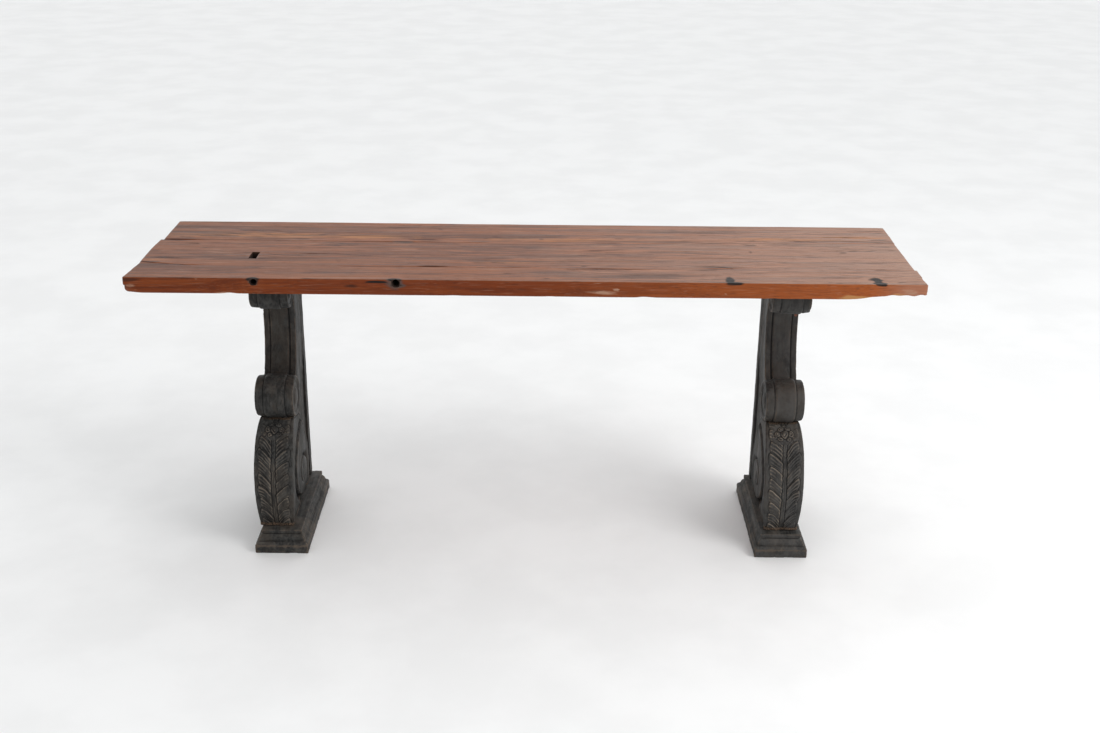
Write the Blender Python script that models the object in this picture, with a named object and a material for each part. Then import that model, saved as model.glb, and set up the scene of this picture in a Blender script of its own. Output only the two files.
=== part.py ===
"""Console table: a long three-board plank top on a pair of carved scroll supports.

Frame: +X runs along the table, -Y is the front, +Z is up. The origin is on the floor, under
the middle of the table. All sizes are in metres.
Run with: blender --background --python part.py
"""

import math

import bmesh
import bpy
from mathutils import Matrix, Vector

GAP = 0.0003  # clearance between pieces that touch
REACH = 0.01  # how far a cutter runs past the surface that it opens

# Whole table
TABLE_HEIGHT = 0.810
TOP_LENGTH = 2.010
TOP_DEPTH = 0.500
TOP_THICKNESS = 0.042
UNDERSIDE = TABLE_HEIGHT - TOP_THICKNESS

# Top boards: the two seams, and how far each worn end stops short of the full length
FRONT_SEAM_Y = -0.138
REAR_SEAM_Y = 0.080
MIDDLE_LEFT_SHORT = 0.011
MIDDLE_RIGHT_SHORT = 0.004
REAR_LEFT_SHORT = 0.020
REAR_RIGHT_SHORT = 0.003
END_TAPER = 0.008  # the front board's left end runs back by this much
END_TAPER_START_Y = -0.200
LEFT_UNDERCUT = ((0.0, 0.014), (0.006, 0.005), (0.014, 0.0))  # (height, inset) of the worn end
EDGE_ROUNDING = 0.0018

# Remains of the boards' earlier use
MORTISE_X = -0.7125
MORTISE_Y = -0.0615
MORTISE_SIZE = (0.020, 0.053, 0.034)
SMALL_BORE = (-0.679, 0.799, 0.0070)  # x, z, radius
LARGE_BORE = (-0.324, 0.8000, 0.0085)
BORE_DEPTH = 0.060
CHIP_START_X = 0.905
CHIP_HEIGHT = 0.012
CHIP_DEPTH = 0.060

# Loose tongues in the seams
TONGUE_LENGTH = 1.880
TONGUE_WIDTH = 0.030
TONGUE_THICKNESS = 0.006

# Supports
SUPPORT_MIDDLE_X = 0.0175
SUPPORT_HALF_SPACING = 0.6833
PLINTH_HALF_X = 0.072
PLINTH_HALF_Y = 0.200
PLINTH_STEPS = ((0.0, 0.0), (0.0, 0.024), (0.004, 0.0295), (0.0080, 0.0330))  # (inset, height)
CAP_STEPS = (
    (0.0095, 0.0333), (0.0100, 0.0365), (0.0118, 0.0425), (0.0150, 0.0480),
    (0.0190, 0.0510), (0.0175, 0.0525), (0.0175, 0.0630),
)
BODY_BOTTOM = CAP_STEPS[-1][1] + GAP
CLEAT_THICKNESS = 0.0245
BODY_TOP = UNDERSIDE - CLEAT_THICKNESS - 2 * GAP

# Scroll body, seen from its side as (y, z); u is measured outwards from the body's middle
LEFT_BODY_SHIFT = 0.0165  # the body's middle, outwards from its plinth's middle
RIGHT_BODY_SHIFT = 0.0020
BODY_HALF_WIDTH = 0.0435
WEB_HALF_WIDTH = 0.0335
ROLL_HALF_WIDTH = 0.052
BACK_FRONT_Y = 0.150
BACK_REAR_Y = 0.178
ROLL_BACK_Y = 0.012
BELLY = (
    (-0.140, BODY_BOTTOM), (-0.158, 0.110), (-0.1635, 0.160), (-0.157, 0.215),
    (-0.141, 0.263), (-0.117, 0.304), (-0.076, 0.337),
)
VOLUTE_BACK = ((0.030, 0.326), (0.075, 0.294), (0.108, 0.247), (0.130, 0.189), (0.138, 0.130))
BED_SLOPE = (VOLUTE_BACK[0][1] - BELLY[-1][1]) / (VOLUTE_BACK[0][0] - BELLY[-1][0])
NECK_FRONT = (
    (ROLL_BACK_Y, 0.438), (0.030, 0.469), (0.045, 0.507), (0.055, 0.555),
    (0.058, 0.600), (0.052, 0.640), (0.036, 0.664),
)
NECK_SHOULDER_Z = 0.690  # where the neck meets the back of the top roll
NECK_REAR_Z = 0.560  # where the neck's back reaches the back board
NECK_BACK = ((0.0315, 0.3305), (0.085, 0.364), (0.125, 0.422), (0.142, 0.474), (0.1480, 0.530))
MID_ROLL = (
    (-0.076, 0.343), (-0.0845, 0.3667), (-0.0941, 0.3899), (-0.0930, 0.4150),
    (-0.0814, 0.4373), (-0.0615, 0.4526), (-0.0421, 0.4578), (-0.0220, 0.4560),
    (ROLL_BACK_Y - GAP, 0.444),
)
MID_ROLL_FOOT_Y = -0.070
ROLL_END_ROUNDING = 0.009
ROLL_BAND_HALF = 0.027
ROLL_BAND_RISE = 0.003
TOP_ROLL_MIDDLE = (-0.030, 0.7005)
TOP_ROLL_RADIUS = 0.046
TOP_ROLL_BACK_Y = 0.0222
TOP_ROLL_HEEL = 0.008  # drop of its back below its middle
TOP_ROLL_START = math.radians(-20)
TOP_ROLL_STEPS = 16
NECK_BAND_HALF = 0.021
NECK_BAND_SLOPE = 0.003
NECK_BAND_RISE = 0.004

# Spiral channel carved in each side of the lower scroll
EYE = (0.046, 0.132)
SPIRAL_START = math.radians(64)
SPIRAL_END = math.radians(560)
SPIRAL_RADIUS = 0.129
SPIRAL_SHRINK = 0.165
CHANNEL_SHARE = 0.115  # half of the channel's width, as a share of the spiral's radius
CHANNEL_DEPTH = 0.007
SPIRAL_POINTS = 34

# Leaf carved on the front of the lower scroll
LEAF_ROWS = 18
LEAF_COLUMNS = (-1.0, -0.82, -0.5, -0.12, -0.05, 0.05, 0.12, 0.5, 0.82, 1.0)
LEAF_THICKNESS = (0.0035, 0.0085, 0.0105, 0.0085, 0.0065, 0.0065, 0.0085, 0.0105, 0.0085, 0.0035)
LEAF_END_HALF_WIDTH = 0.0455
LEAF_MIDDLE_HALF_WIDTH = 0.0535

# Fasteners: head radius, head height, shank radius, length
WOOD_SCREW = (0.0045, 0.0030, 0.0023, 0.038)
BACK_SCREW = (0.0050, 0.0032, 0.0025, 0.060)
COACH_SCREW = (0.0080, 0.0050, 0.0040, 0.110)
SCREW_RIM = 0.0006
SCREW_POINT = (0.008, 0.0006)  # length and end radius
COACH_POINT = (0.010, 0.0010)
HOLE_LEAD = 0.002  # how far a fastener's hole runs out past its head
COACH_RECESS = 0.008
COACH_SCREW_YS = (("front", -0.085), ("rear", 0.085))
DOWEL_RADIUS = 0.006
DOWEL_CHAMFER = 0.001
TOP_DOWEL_LENGTH = 0.044
TOP_DOWEL_DEPTH = 0.028  # how much of it sits in the neck
TOP_DOWEL_YS = (("front", 0.050), ("rear", 0.115))
ROLL_DOWEL_LENGTH = 0.050
MID_ROLL_DOWEL = (0.038, 0.405)  # y and z of its inner end
TOP_ROLL_DOWEL = (0.046, 0.705)
FASTENER_SIDES = 8
BORE_SIDES = 16
CLEAT_HALF_X = 0.070
CLEAT_HALF_Y = 0.180
CLEAT_CHAMFER = 0.010
CLEAT_SCREW_U = 0.060
CLEAT_SCREW_YS = (-0.165, 0.010, 0.155)
BACK_SCREW_ZS = (0.130, 0.400, 0.660)

TOP_WOOD = ("reclaimed_hardwood", (0.20, 0.085, 0.042), 0.55, 0.0)
CARVED_WOOD = ("ebonised_wood", (0.028, 0.025, 0.023), 0.50, 0.0)
PLAIN_WOOD = ("plain_softwood", (0.30, 0.19, 0.10), 0.70, 0.0)
STEEL = ("dark_steel", (0.18, 0.17, 0.16), 0.45, 1.0)


# ---------------------------------------------------------------- helpers

def clear_scene():
    for obj in list(bpy.data.objects):
        bpy.data.objects.remove(obj, do_unlink=True)


def material(spec):
    name, colour, roughness, metallic = spec
    found = bpy.data.materials.get(name)
    if found:
        return found
    made = bpy.data.materials.new(name)
    made.use_nodes = True
    shader = made.node_tree.nodes["Principled BSDF"]
    shader.inputs["Base Color"].default_value = (*colour, 1.0)
    shader.inputs["Roughness"].default_value = roughness
    shader.inputs["Metallic"].default_value = metallic
    return made


def finish_object(name, bm, spec, parent=None, smooth=False):
    bmesh.ops.recalc_face_normals(bm, faces=bm.faces)
    mesh = bpy.data.meshes.new(name)
    bm.to_mesh(mesh)
    bm.free()
    obj = bpy.data.objects.new(name, mesh)
    bpy.context.scene.collection.objects.link(obj)
    obj.parent = parent
    mesh.materials.append(material(spec))
    if smooth:
        mesh.shade_smooth()
        mesh.set_sharp_from_angle(angle=math.radians(35))
    return obj


def as_cutter(obj):
    obj.hide_render = True
    obj.display_type = "WIRE"
    return obj


def cut(target, cutter):
    modifier = target.modifiers.new("cut_" + cutter.name, "BOOLEAN")
    modifier.operation = "DIFFERENCE"
    modifier.solver = "EXACT"
    modifier.object = cutter


def round_edges(obj, width, angle=50):
    modifier = obj.modifiers.new("rounded_edges", "BEVEL")
    modifier.width = width
    modifier.segments = 2
    modifier.limit_method = "ANGLE"
    modifier.angle_limit = math.radians(angle)


def loft(bm, loops):
    """Skin a stack of closed loops with the same number of points, and cap both ends."""
    rings = [[bm.verts.new(point) for point in loop] for loop in loops]
    count = len(rings[0])
    for lower, upper in zip(rings, rings[1:]):
        for i in range(count):
            j = (i + 1) % count
            bm.faces.new((lower[i], lower[j], upper[j], upper[i]))
    bm.faces.new(rings[0])
    bm.faces.new(rings[-1])


def turned(bm, profile, matrix=None, sides=FASTENER_SIDES):
    """Turn a profile of (radius, height) about +Z; its first and last radius are above zero."""
    loops = []
    for radius, height in profile:
        turns = [2 * math.pi * i / sides for i in range(sides)]
        ring = [Vector((radius * math.cos(a), radius * math.sin(a), height)) for a in turns]
        loops.append([matrix @ point for point in ring] if matrix else ring)
    loft(bm, loops)


def box(bm, low, high):
    (x0, y0, z0), (x1, y1, z1) = low, high
    loft(bm, [[(x0, y0, z), (x1, y0, z), (x1, y1, z), (x0, y1, z)] for z in (z0, z1)])


def smooth_curve(points, steps):
    """Points along a Catmull-Rom curve through the given points, ends included."""
    path = [Vector(p) for p in points]
    path = [2 * path[0] - path[1], *path, 2 * path[-1] - path[-2]]
    curve = []
    for a, b, c, d in zip(path, path[1:], path[2:], path[3:]):
        for step in range(steps):
            t = step / steps
            curve.append(0.5 * (2 * b + (c - a) * t + (2 * a - 5 * b + 4 * c - d) * t * t
                                + (3 * b - a - 3 * c + d) * t ** 3))
    curve.append(path[-2])
    return curve


def bed_height(y):
    """Height of the joint between the lower scroll and what stands on it."""
    return BELLY[-1][1] + BED_SLOPE * (y - BELLY[-1][0]) + GAP


def normals_along(curve):
    """Unit normals of an open (y, z) curve, pointing to the left of its direction."""
    normals = []
    for i in range(len(curve)):
        along = (curve[min(i + 1, len(curve) - 1)] - curve[max(i - 1, 0)]).normalized()
        normals.append(Vector((-along.y, along.x)))
    return normals


def side_loft(bm, columns):
    """Loft closed (y, z) sections across u; columns hold (u, points of that section)."""
    loft(bm, [[(u, y, z) for y, z in section] for u, section in columns])


def prism(bm, outline, low_u, high_u):
    side_loft(bm, ((low_u, outline), (high_u, outline)))


def pointing(position, direction):
    """Matrix that carries +Z to the direction and the origin to the position."""
    turn = Vector(direction).to_track_quat("Z", "Y").to_matrix().to_4x4()
    return Matrix.Translation(position) @ turn


# ---------------------------------------------------------------- fasteners

def screw_profile(size, grow=0.0):
    head, head_height, shank, length = size
    point, tip = SCREW_POINT
    start = -HOLE_LEAD if grow else 0.0
    return (
        (head + grow, start), (head + grow, SCREW_RIM), (shank + grow, head_height),
        (shank + grow, length - point), (tip + grow, length + grow),
    )


def coach_profile(size, grow=0.0):
    head, head_height, shank, length = size
    point, tip = COACH_POINT
    start = -COACH_RECESS - HOLE_LEAD if grow else 0.0
    return (
        (head + grow, start), (head + grow, head_height + grow), (shank + grow, head_height + grow),
        (shank + grow, length - point), (tip + grow, length + grow),
    )


def dowel_profile(length, grow=0.0):
    edge = DOWEL_RADIUS - (0 if grow else DOWEL_CHAMFER)
    return (
        (edge + grow, -grow), (DOWEL_RADIUS + grow, DOWEL_CHAMFER),
        (DOWEL_RADIUS + grow, length - DOWEL_CHAMFER), (edge + grow, length + grow),
    )


class Fastener:
    """One fastener: where it sits, its own shape, and the hole it needs."""

    def __init__(self, name, profile, size, position, direction, spec):
        self.name, self.profile, self.size = name, profile, size
        self.place = pointing(position, direction)
        self.spec = spec

    def make(self, parent):
        bm = bmesh.new()
        turned(bm, self.profile(self.size), self.place)
        return finish_object(self.name, bm, self.spec, parent, smooth=True)

    def add_hole(self, bm):
        turned(bm, self.profile(self.size, GAP), self.place)


def drill(target, fasteners, parent=None):
    bm = bmesh.new()
    for fastener in fasteners:
        fastener.add_hole(bm)
    cut(target, as_cutter(finish_object(target.name + "_holes", bm, STEEL, parent)))


# ---------------------------------------------------------------- top

def board_outline(low_y, high_y, left_short, right_short, taper=0.0):
    """Corners of one board in plan, counter-clockwise; its left end may run back."""
    left = -TOP_LENGTH / 2 + left_short
    right = TOP_LENGTH / 2 - right_short
    turn_y = END_TAPER_START_Y if taper else (low_y + high_y) / 2
    return [(right, high_y), (left + taper, high_y), (left, turn_y), (left, low_y), (right, low_y)]


def make_board(name, outline):
    levels = [*LEFT_UNDERCUT, (TOP_THICKNESS, 0.0)]
    loops = []
    for height, inset in levels:
        loops.append([(x + (inset if x < 0 else 0), y, UNDERSIDE + height) for x, y in outline])
    bm = bmesh.new()
    loft(bm, loops)
    board = finish_object(name, bm, TOP_WOOD)
    round_edges(board, EDGE_ROUNDING)
    return board


def tongue_box(seam_y, grow):
    half_length = TONGUE_LENGTH / 2 + grow
    half_width = TONGUE_WIDTH / 2 + grow
    half_thickness = TONGUE_THICKNESS / 2 + grow
    middle = UNDERSIDE + TOP_THICKNESS / 2
    bm = bmesh.new()
    box(bm, (-half_length, seam_y - half_width, middle - half_thickness),
        (half_length, seam_y + half_width, middle + half_thickness))
    return bm


def make_tongue(name, seam_y, boards):
    finish_object(name, tongue_box(seam_y, 0.0), PLAIN_WOOD)
    groove = as_cutter(finish_object(name + "_groove", tongue_box(seam_y, GAP), PLAIN_WOOD))
    for board in boards:
        cut(board, groove)


def cut_mortise(board):
    width, depth, height = MORTISE_SIZE
    bm = bmesh.new()
    box(bm, (MORTISE_X - width / 2, MORTISE_Y - depth / 2, TABLE_HEIGHT - height),
        (MORTISE_X + width / 2, MORTISE_Y + depth / 2, TABLE_HEIGHT + REACH))
    cut(board, as_cutter(finish_object("mortise", bm, TOP_WOOD)))


def cut_edge_bores(board):
    bm = bmesh.new()
    for x, z, radius in (SMALL_BORE, LARGE_BORE):
        place = pointing((x, -TOP_DEPTH / 2 - REACH, z), (0, 1, 0))
        turned(bm, ((radius, 0.0), (radius, REACH + BORE_DEPTH)), place, sides=BORE_SIDES)
    cut(board, as_cutter(finish_object("edge_bores", bm, TOP_WOOD)))


def cut_chip(board):
    """Split the front board's lower edge away at its right end."""
    front = -TOP_DEPTH / 2 - REACH
    rear = -TOP_DEPTH / 2 + CHIP_DEPTH
    slope = CHIP_HEIGHT / CHIP_DEPTH
    section = [
        (front, UNDERSIDE - REACH), (front, UNDERSIDE + CHIP_HEIGHT + REACH * slope),
        (rear, UNDERSIDE), (rear, UNDERSIDE - REACH),
    ]
    bm = bmesh.new()
    prism(bm, section, CHIP_START_X, TOP_LENGTH / 2 + REACH)
    cut(board, as_cutter(finish_object("chip", bm, TOP_WOOD)))


def make_top():
    front = make_board("top_board_front", board_outline(
        -TOP_DEPTH / 2, FRONT_SEAM_Y - GAP / 2, 0.0, 0.0, END_TAPER))
    middle = make_board("top_board_middle", board_outline(
        FRONT_SEAM_Y + GAP / 2, REAR_SEAM_Y - GAP / 2, MIDDLE_LEFT_SHORT, MIDDLE_RIGHT_SHORT))
    rear = make_board("top_board_rear", board_outline(
        REAR_SEAM_Y + GAP / 2, TOP_DEPTH / 2, REAR_LEFT_SHORT, REAR_RIGHT_SHORT))
    make_tongue("top_tongue_front", FRONT_SEAM_Y, (front, middle))
    make_tongue("top_tongue_rear", REAR_SEAM_Y, (middle, rear))
    cut_mortise(middle)
    cut_edge_bores(front)
    cut_chip(front)
    return front, middle, rear


# ---------------------------------------------------------------- support pieces

def mirrored(bm, outward):
    """Turn a mesh built in u, outwards, into the support's own x."""
    for vert in bm.verts:
        vert.co.x *= outward
    return bm


def make_stepped_block(name, steps, outward, parent):
    loops = []
    for inset, z in steps:
        x, y = PLINTH_HALF_X - inset, PLINTH_HALF_Y - inset
        loops.append([(-x, -y, z), (x, -y, z), (x, y, z), (-x, y, z)])
    bm = bmesh.new()
    loft(bm, loops)
    return finish_object(name, mirrored(bm, outward), CARVED_WOOD, parent)


def spiral_point(angle, share):
    radius = SPIRAL_RADIUS * math.exp(-SPIRAL_SHRINK * (angle - SPIRAL_START)) * (1 + share)
    return EYE[0] + radius * math.cos(angle), EYE[1] + radius * math.sin(angle)


def cut_spiral(target, outward, parent):
    """Carve the tapering spiral channel into both sides of the lower scroll."""
    angles = [SPIRAL_START + (SPIRAL_END - SPIRAL_START) * i / (SPIRAL_POINTS - 1)
              for i in range(SPIRAL_POINTS)]
    outer = [spiral_point(a, CHANNEL_SHARE) for a in angles]
    inner = [spiral_point(a, -CHANNEL_SHARE) for a in angles]
    ribbon = outer + inner[::-1]
    for side, facing in (("outer", 1), ("inner", -1)):
        bm = bmesh.new()
        prism(bm, ribbon, facing * (BODY_HALF_WIDTH - CHANNEL_DEPTH), facing * (BODY_HALF_WIDTH + REACH))
        name = f"{target.name}_{side}_channel"
        cut(target, as_cutter(finish_object(name, mirrored(bm, outward), CARVED_WOOD, parent)))


def make_lower_scroll(name, outward, parent):
    front = smooth_curve(BELLY, 3)
    back = smooth_curve(VOLUTE_BACK, 3)
    outline = [*front, *back, Vector((back[-1].x, BODY_BOTTOM))]
    bm = bmesh.new()
    prism(bm, outline, -BODY_HALF_WIDTH, BODY_HALF_WIDTH)
    scroll = finish_object(name, mirrored(bm, outward), CARVED_WOOD, parent)
    cut_spiral(scroll, outward, parent)
    return scroll


def make_upper_scroll(name, outward, parent):
    """The swept neck, with its raised band down the front."""
    front = smooth_curve(NECK_FRONT, 3)
    back = smooth_curve(NECK_BACK, 3)
    corner_back = BACK_FRONT_Y - GAP
    rest = [Vector((TOP_ROLL_BACK_Y, NECK_SHOULDER_Z)), Vector((TOP_ROLL_BACK_Y, BODY_TOP)),
            Vector((corner_back, BODY_TOP)), Vector((corner_back, NECK_REAR_Z)),
            *back[::-1], Vector((ROLL_BACK_Y, bed_height(ROLL_BACK_Y)))]
    normals = normals_along(front)
    raised = [p + NECK_BAND_RISE * n for p, n in zip(front[1:], normals[1:])]
    plain = [*front, *rest]
    band = [front[0], *raised, *rest]
    edge, step = NECK_BAND_HALF + NECK_BAND_SLOPE, NECK_BAND_HALF
    bm = bmesh.new()
    side_loft(bm, ((-BODY_HALF_WIDTH, plain), (-edge, plain), (-step, band),
                   (step, band), (edge, plain), (BODY_HALF_WIDTH, plain)))
    return finish_object(name, mirrored(bm, outward), CARVED_WOOD, parent)


def make_web(name, outward, parent):
    """Sunk panel between the two scrolls and the back board."""
    away = Vector((2 * GAP, 0))
    upper = [p + away - Vector((0, GAP)) for p in smooth_curve(NECK_BACK, 3)]
    lower = [p + away + Vector((0, GAP)) for p in smooth_curve(VOLUTE_BACK, 3)]
    rear = BACK_FRONT_Y - GAP
    outline = [*lower, Vector((lower[-1].x, BODY_BOTTOM)), Vector((rear, BODY_BOTTOM)),
               Vector((rear, upper[-1].y)), *upper[::-1]]
    bm = bmesh.new()
    prism(bm, outline, -WEB_HALF_WIDTH, WEB_HALF_WIDTH)
    return finish_object(name, mirrored(bm, outward), CARVED_WOOD, parent)


def make_back_board(name, outward, parent):
    bm = bmesh.new()
    box(bm, (-BODY_HALF_WIDTH, BACK_FRONT_Y, BODY_BOTTOM), (BODY_HALF_WIDTH, BACK_REAR_Y, BODY_TOP))
    return finish_object(name, mirrored(bm, outward), CARVED_WOOD, parent)


def make_roll(name, curve, flats, outward, parent):
    """A barrel across the front, with rounded ends and a raised band round its middle.

    The curve is its exposed face, from its lower end up; the flats close the outline behind.
    """
    normals = normals_along(curve)

    def section(offset):
        moved = [p + offset * n for p, n in zip(curve[1:-1], normals[1:-1])]
        return [curve[0], *moved, curve[-1], *flats]

    shrink = ROLL_END_ROUNDING / 3
    offsets = (
        (ROLL_HALF_WIDTH, -ROLL_END_ROUNDING), (ROLL_HALF_WIDTH - shrink, -shrink),
        (ROLL_HALF_WIDTH - ROLL_END_ROUNDING, 0.0), (ROLL_BAND_HALF + ROLL_BAND_RISE, 0.0),
        (ROLL_BAND_HALF, ROLL_BAND_RISE),
    )
    columns = [(-u, section(offset)) for u, offset in offsets]
    columns += [(u, section(offset)) for u, offset in reversed(offsets)]
    bm = bmesh.new()
    side_loft(bm, columns)
    return finish_object(name, mirrored(bm, outward), CARVED_WOOD, parent)


def make_mid_roll(name, outward, parent):
    back = ROLL_BACK_Y - GAP
    foot = Vector((MID_ROLL_FOOT_Y, bed_height(MID_ROLL_FOOT_Y)))
    flats = [Vector((back, bed_height(back))), foot]
    return make_roll(name, smooth_curve(MID_ROLL, 2), flats, outward, parent)


def make_top_roll(name, outward, parent):
    y, z = TOP_ROLL_MIDDLE
    back = TOP_ROLL_BACK_Y - GAP
    sweep = -math.pi - math.asin((BODY_TOP - z) / TOP_ROLL_RADIUS) - TOP_ROLL_START
    angles = [TOP_ROLL_START + sweep * i / TOP_ROLL_STEPS for i in range(TOP_ROLL_STEPS + 1)]
    curve = [Vector((y + TOP_ROLL_RADIUS * math.cos(a), z + TOP_ROLL_RADIUS * math.sin(a)))
             for a in angles]
    flats = [Vector((back, BODY_TOP)), Vector((back, z - TOP_ROLL_HEEL))]
    return make_roll(name, curve, flats, outward, parent)


def leaf_half_width(share):
    bulge = math.sin(math.pi * min(max(share, 0.0), 1.0)) ** 0.8
    return LEAF_END_HALF_WIDTH + (LEAF_MIDDLE_HALF_WIDTH - LEAF_END_HALF_WIDTH) * bulge


def make_leaf(name, outward, parent):
    """Long pointed leaf that wraps the front of the lower scroll."""
    curve = smooth_curve(BELLY, 3)
    normals = normals_along(curve)
    rows = []
    for i, (point, normal) in enumerate(zip(curve, normals)):
        half = leaf_half_width(i / (len(curve) - 1))
        bed = point + GAP * normal
        back = [(half * column, bed.x, bed.y) for column in LEAF_COLUMNS]
        face = []
        for column, thickness in zip(LEAF_COLUMNS, LEAF_THICKNESS):
            top = bed + thickness * normal
            face.append((half * column, top.x, top.y))
        rows.append([*back, *face[::-1]])
    rows = [[(u, y, max(z, BODY_BOTTOM)) for u, y, z in row] for row in rows]
    bm = bmesh.new()
    loft(bm, rows)
    return finish_object(name, mirrored(bm, outward), CARVED_WOOD, parent)


def make_cleat(name, outward, parent):
    """Cross bearer under the boards, with its lower ends cut back."""
    low, high = BODY_TOP + GAP, UNDERSIDE - GAP
    outline = [
        Vector((-CLEAT_HALF_Y + CLEAT_CHAMFER, low)), Vector((CLEAT_HALF_Y - CLEAT_CHAMFER, low)),
        Vector((CLEAT_HALF_Y, low + CLEAT_CHAMFER)), Vector((CLEAT_HALF_Y, high)),
        Vector((-CLEAT_HALF_Y, high)), Vector((-CLEAT_HALF_Y, low + CLEAT_CHAMFER)),
    ]
    bm = bmesh.new()
    prism(bm, outline, -CLEAT_HALF_X, CLEAT_HALF_X)
    return finish_object(name, mirrored(bm, outward), PLAIN_WOOD, parent)


# ---------------------------------------------------------------- support fasteners

def cleat_screws(side, outward):
    """Screws up through the cleat, a pair into each board."""
    screws = []
    for row, y in enumerate(CLEAT_SCREW_YS):
        for place, u in (("inner", -CLEAT_SCREW_U), ("outer", CLEAT_SCREW_U)):
            position = (outward * u, y, BODY_TOP + GAP)
            name = f"{side}_cleat_screw_{place}_{row + 1}"
            screws.append(Fastener(name, screw_profile, WOOD_SCREW, position, (0, 0, 1), STEEL))
    return screws


def back_screws(side):
    screws = []
    for row, z in enumerate(BACK_SCREW_ZS):
        position = (0, BACK_REAR_Y, z)
        name = f"{side}_back_screw_{row + 1}"
        screws.append(Fastener(name, screw_profile, BACK_SCREW, position, (0, -1, 0), STEEL))
    return screws


def coach_screws(side):
    screws = []
    for place, y in COACH_SCREW_YS:
        position = (0, y, COACH_RECESS)
        name = f"{side}_plinth_screw_{place}"
        screws.append(Fastener(name, coach_profile, COACH_SCREW, position, (0, 0, 1), STEEL))
    return screws


def dowel(name, length, position, direction):
    return Fastener(name, dowel_profile, length, position, direction, PLAIN_WOOD)


# ---------------------------------------------------------------- assembly

def make_place(name, x):
    """An empty that carries one support's pieces, at its middle."""
    place = bpy.data.objects.new(name, None)
    place.location = (x, 0, 0)
    bpy.context.scene.collection.objects.link(place)
    return place


def make_support(side, outward, body_shift, boards):
    plinth_x = SUPPORT_MIDDLE_X + outward * SUPPORT_HALF_SPACING
    plinth = make_place(f"{side}_plinth_place", plinth_x)
    body = make_place(f"{side}_body_place", plinth_x + outward * body_shift)

    base = make_stepped_block(f"{side}_plinth_base", PLINTH_STEPS, outward, plinth)
    cap = make_stepped_block(f"{side}_plinth_cap", CAP_STEPS, outward, plinth)
    lower = make_lower_scroll(f"{side}_lower_scroll", outward, body)
    upper = make_upper_scroll(f"{side}_upper_scroll", outward, body)
    web = make_web(f"{side}_web_panel", outward, body)
    back = make_back_board(f"{side}_back_board", outward, body)
    mid_roll = make_mid_roll(f"{side}_mid_roll", outward, body)
    top_roll = make_top_roll(f"{side}_top_roll", outward, body)
    make_leaf(f"{side}_leaf", outward, body)
    cleat = make_cleat(f"{side}_cleat", outward, body)

    coach = coach_screws(side)
    rear_screws = back_screws(side)
    top_dowels = [
        dowel(f"{side}_top_dowel_{place}", TOP_DOWEL_LENGTH, (0, y, BODY_TOP - TOP_DOWEL_DEPTH), (0, 0, 1))
        for place, y in TOP_DOWEL_YS
    ]
    roll_dowels = [
        dowel(f"{side}_{roll}_dowel", ROLL_DOWEL_LENGTH, (0, *end), (0, -1, 0))
        for roll, end in (("mid_roll", MID_ROLL_DOWEL), ("top_roll", TOP_ROLL_DOWEL))
    ]
    screws = cleat_screws(side, outward)
    for fastener in (*coach, *rear_screws, *top_dowels, *roll_dowels, *screws):
        fastener.make(body)

    drill(base, coach, body)
    drill(cap, coach, body)
    drill(lower, (*coach, rear_screws[0]), body)
    drill(back, rear_screws, body)
    drill(web, rear_screws[:2], body)
    drill(upper, (*rear_screws[2:], *top_dowels, *roll_dowels), body)
    drill(mid_roll, roll_dowels[:1], body)
    drill(top_roll, roll_dowels[1:], body)
    drill(cleat, (*screws, *top_dowels), body)
    for row, board in enumerate(boards):
        bm = bmesh.new()
        for screw in screws[2 * row:2 * row + 2]:
            screw.add_hole(bm)
        cut(board, as_cutter(finish_object(f"{board.name}_{side}_holes", bm, STEEL, body)))


def main():
    clear_scene()
    boards = make_top()
    make_support("left", -1, LEFT_BODY_SHIFT, boards)
    make_support("right", 1, RIGHT_BODY_SHIFT, boards)


main()
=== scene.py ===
"""Looks of the console table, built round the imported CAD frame.

Frame: +X along the table, -Y its front, +Z up, in metres. u is measured across a support,
outwards from its own middle, so the two supports share their shapes and mirror them.
"""

import math

import bmesh
import bpy
import numpy as np
from mathutils import Matrix, Vector


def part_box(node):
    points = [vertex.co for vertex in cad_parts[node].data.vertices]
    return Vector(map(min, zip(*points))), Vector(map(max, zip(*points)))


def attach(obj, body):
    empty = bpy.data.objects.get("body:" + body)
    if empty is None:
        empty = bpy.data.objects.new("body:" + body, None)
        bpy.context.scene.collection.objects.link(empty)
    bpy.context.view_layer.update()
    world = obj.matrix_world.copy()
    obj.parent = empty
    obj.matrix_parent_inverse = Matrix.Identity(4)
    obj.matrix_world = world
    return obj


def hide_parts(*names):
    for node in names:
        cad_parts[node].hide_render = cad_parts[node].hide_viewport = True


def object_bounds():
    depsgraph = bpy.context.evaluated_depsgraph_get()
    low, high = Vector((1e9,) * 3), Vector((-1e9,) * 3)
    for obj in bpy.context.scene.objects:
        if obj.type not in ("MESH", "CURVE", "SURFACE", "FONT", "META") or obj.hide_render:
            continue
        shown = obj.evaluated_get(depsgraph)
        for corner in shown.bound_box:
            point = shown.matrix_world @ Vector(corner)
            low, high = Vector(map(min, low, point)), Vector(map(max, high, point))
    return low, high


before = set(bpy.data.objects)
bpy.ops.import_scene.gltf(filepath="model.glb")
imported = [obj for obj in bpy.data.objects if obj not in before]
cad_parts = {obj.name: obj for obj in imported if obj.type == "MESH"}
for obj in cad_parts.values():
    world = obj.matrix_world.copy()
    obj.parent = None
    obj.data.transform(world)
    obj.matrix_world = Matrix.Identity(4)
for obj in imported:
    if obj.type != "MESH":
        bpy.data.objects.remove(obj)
CAD_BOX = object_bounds()

TAU = 2 * math.pi
MM = 0.001


# ---------------------------------------------------------------- numbers over points

def smoothstep(low, high, x):
    t = np.clip((x - low) / (high - low), 0, 1)
    return t * t * (3 - 2 * t)


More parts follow.
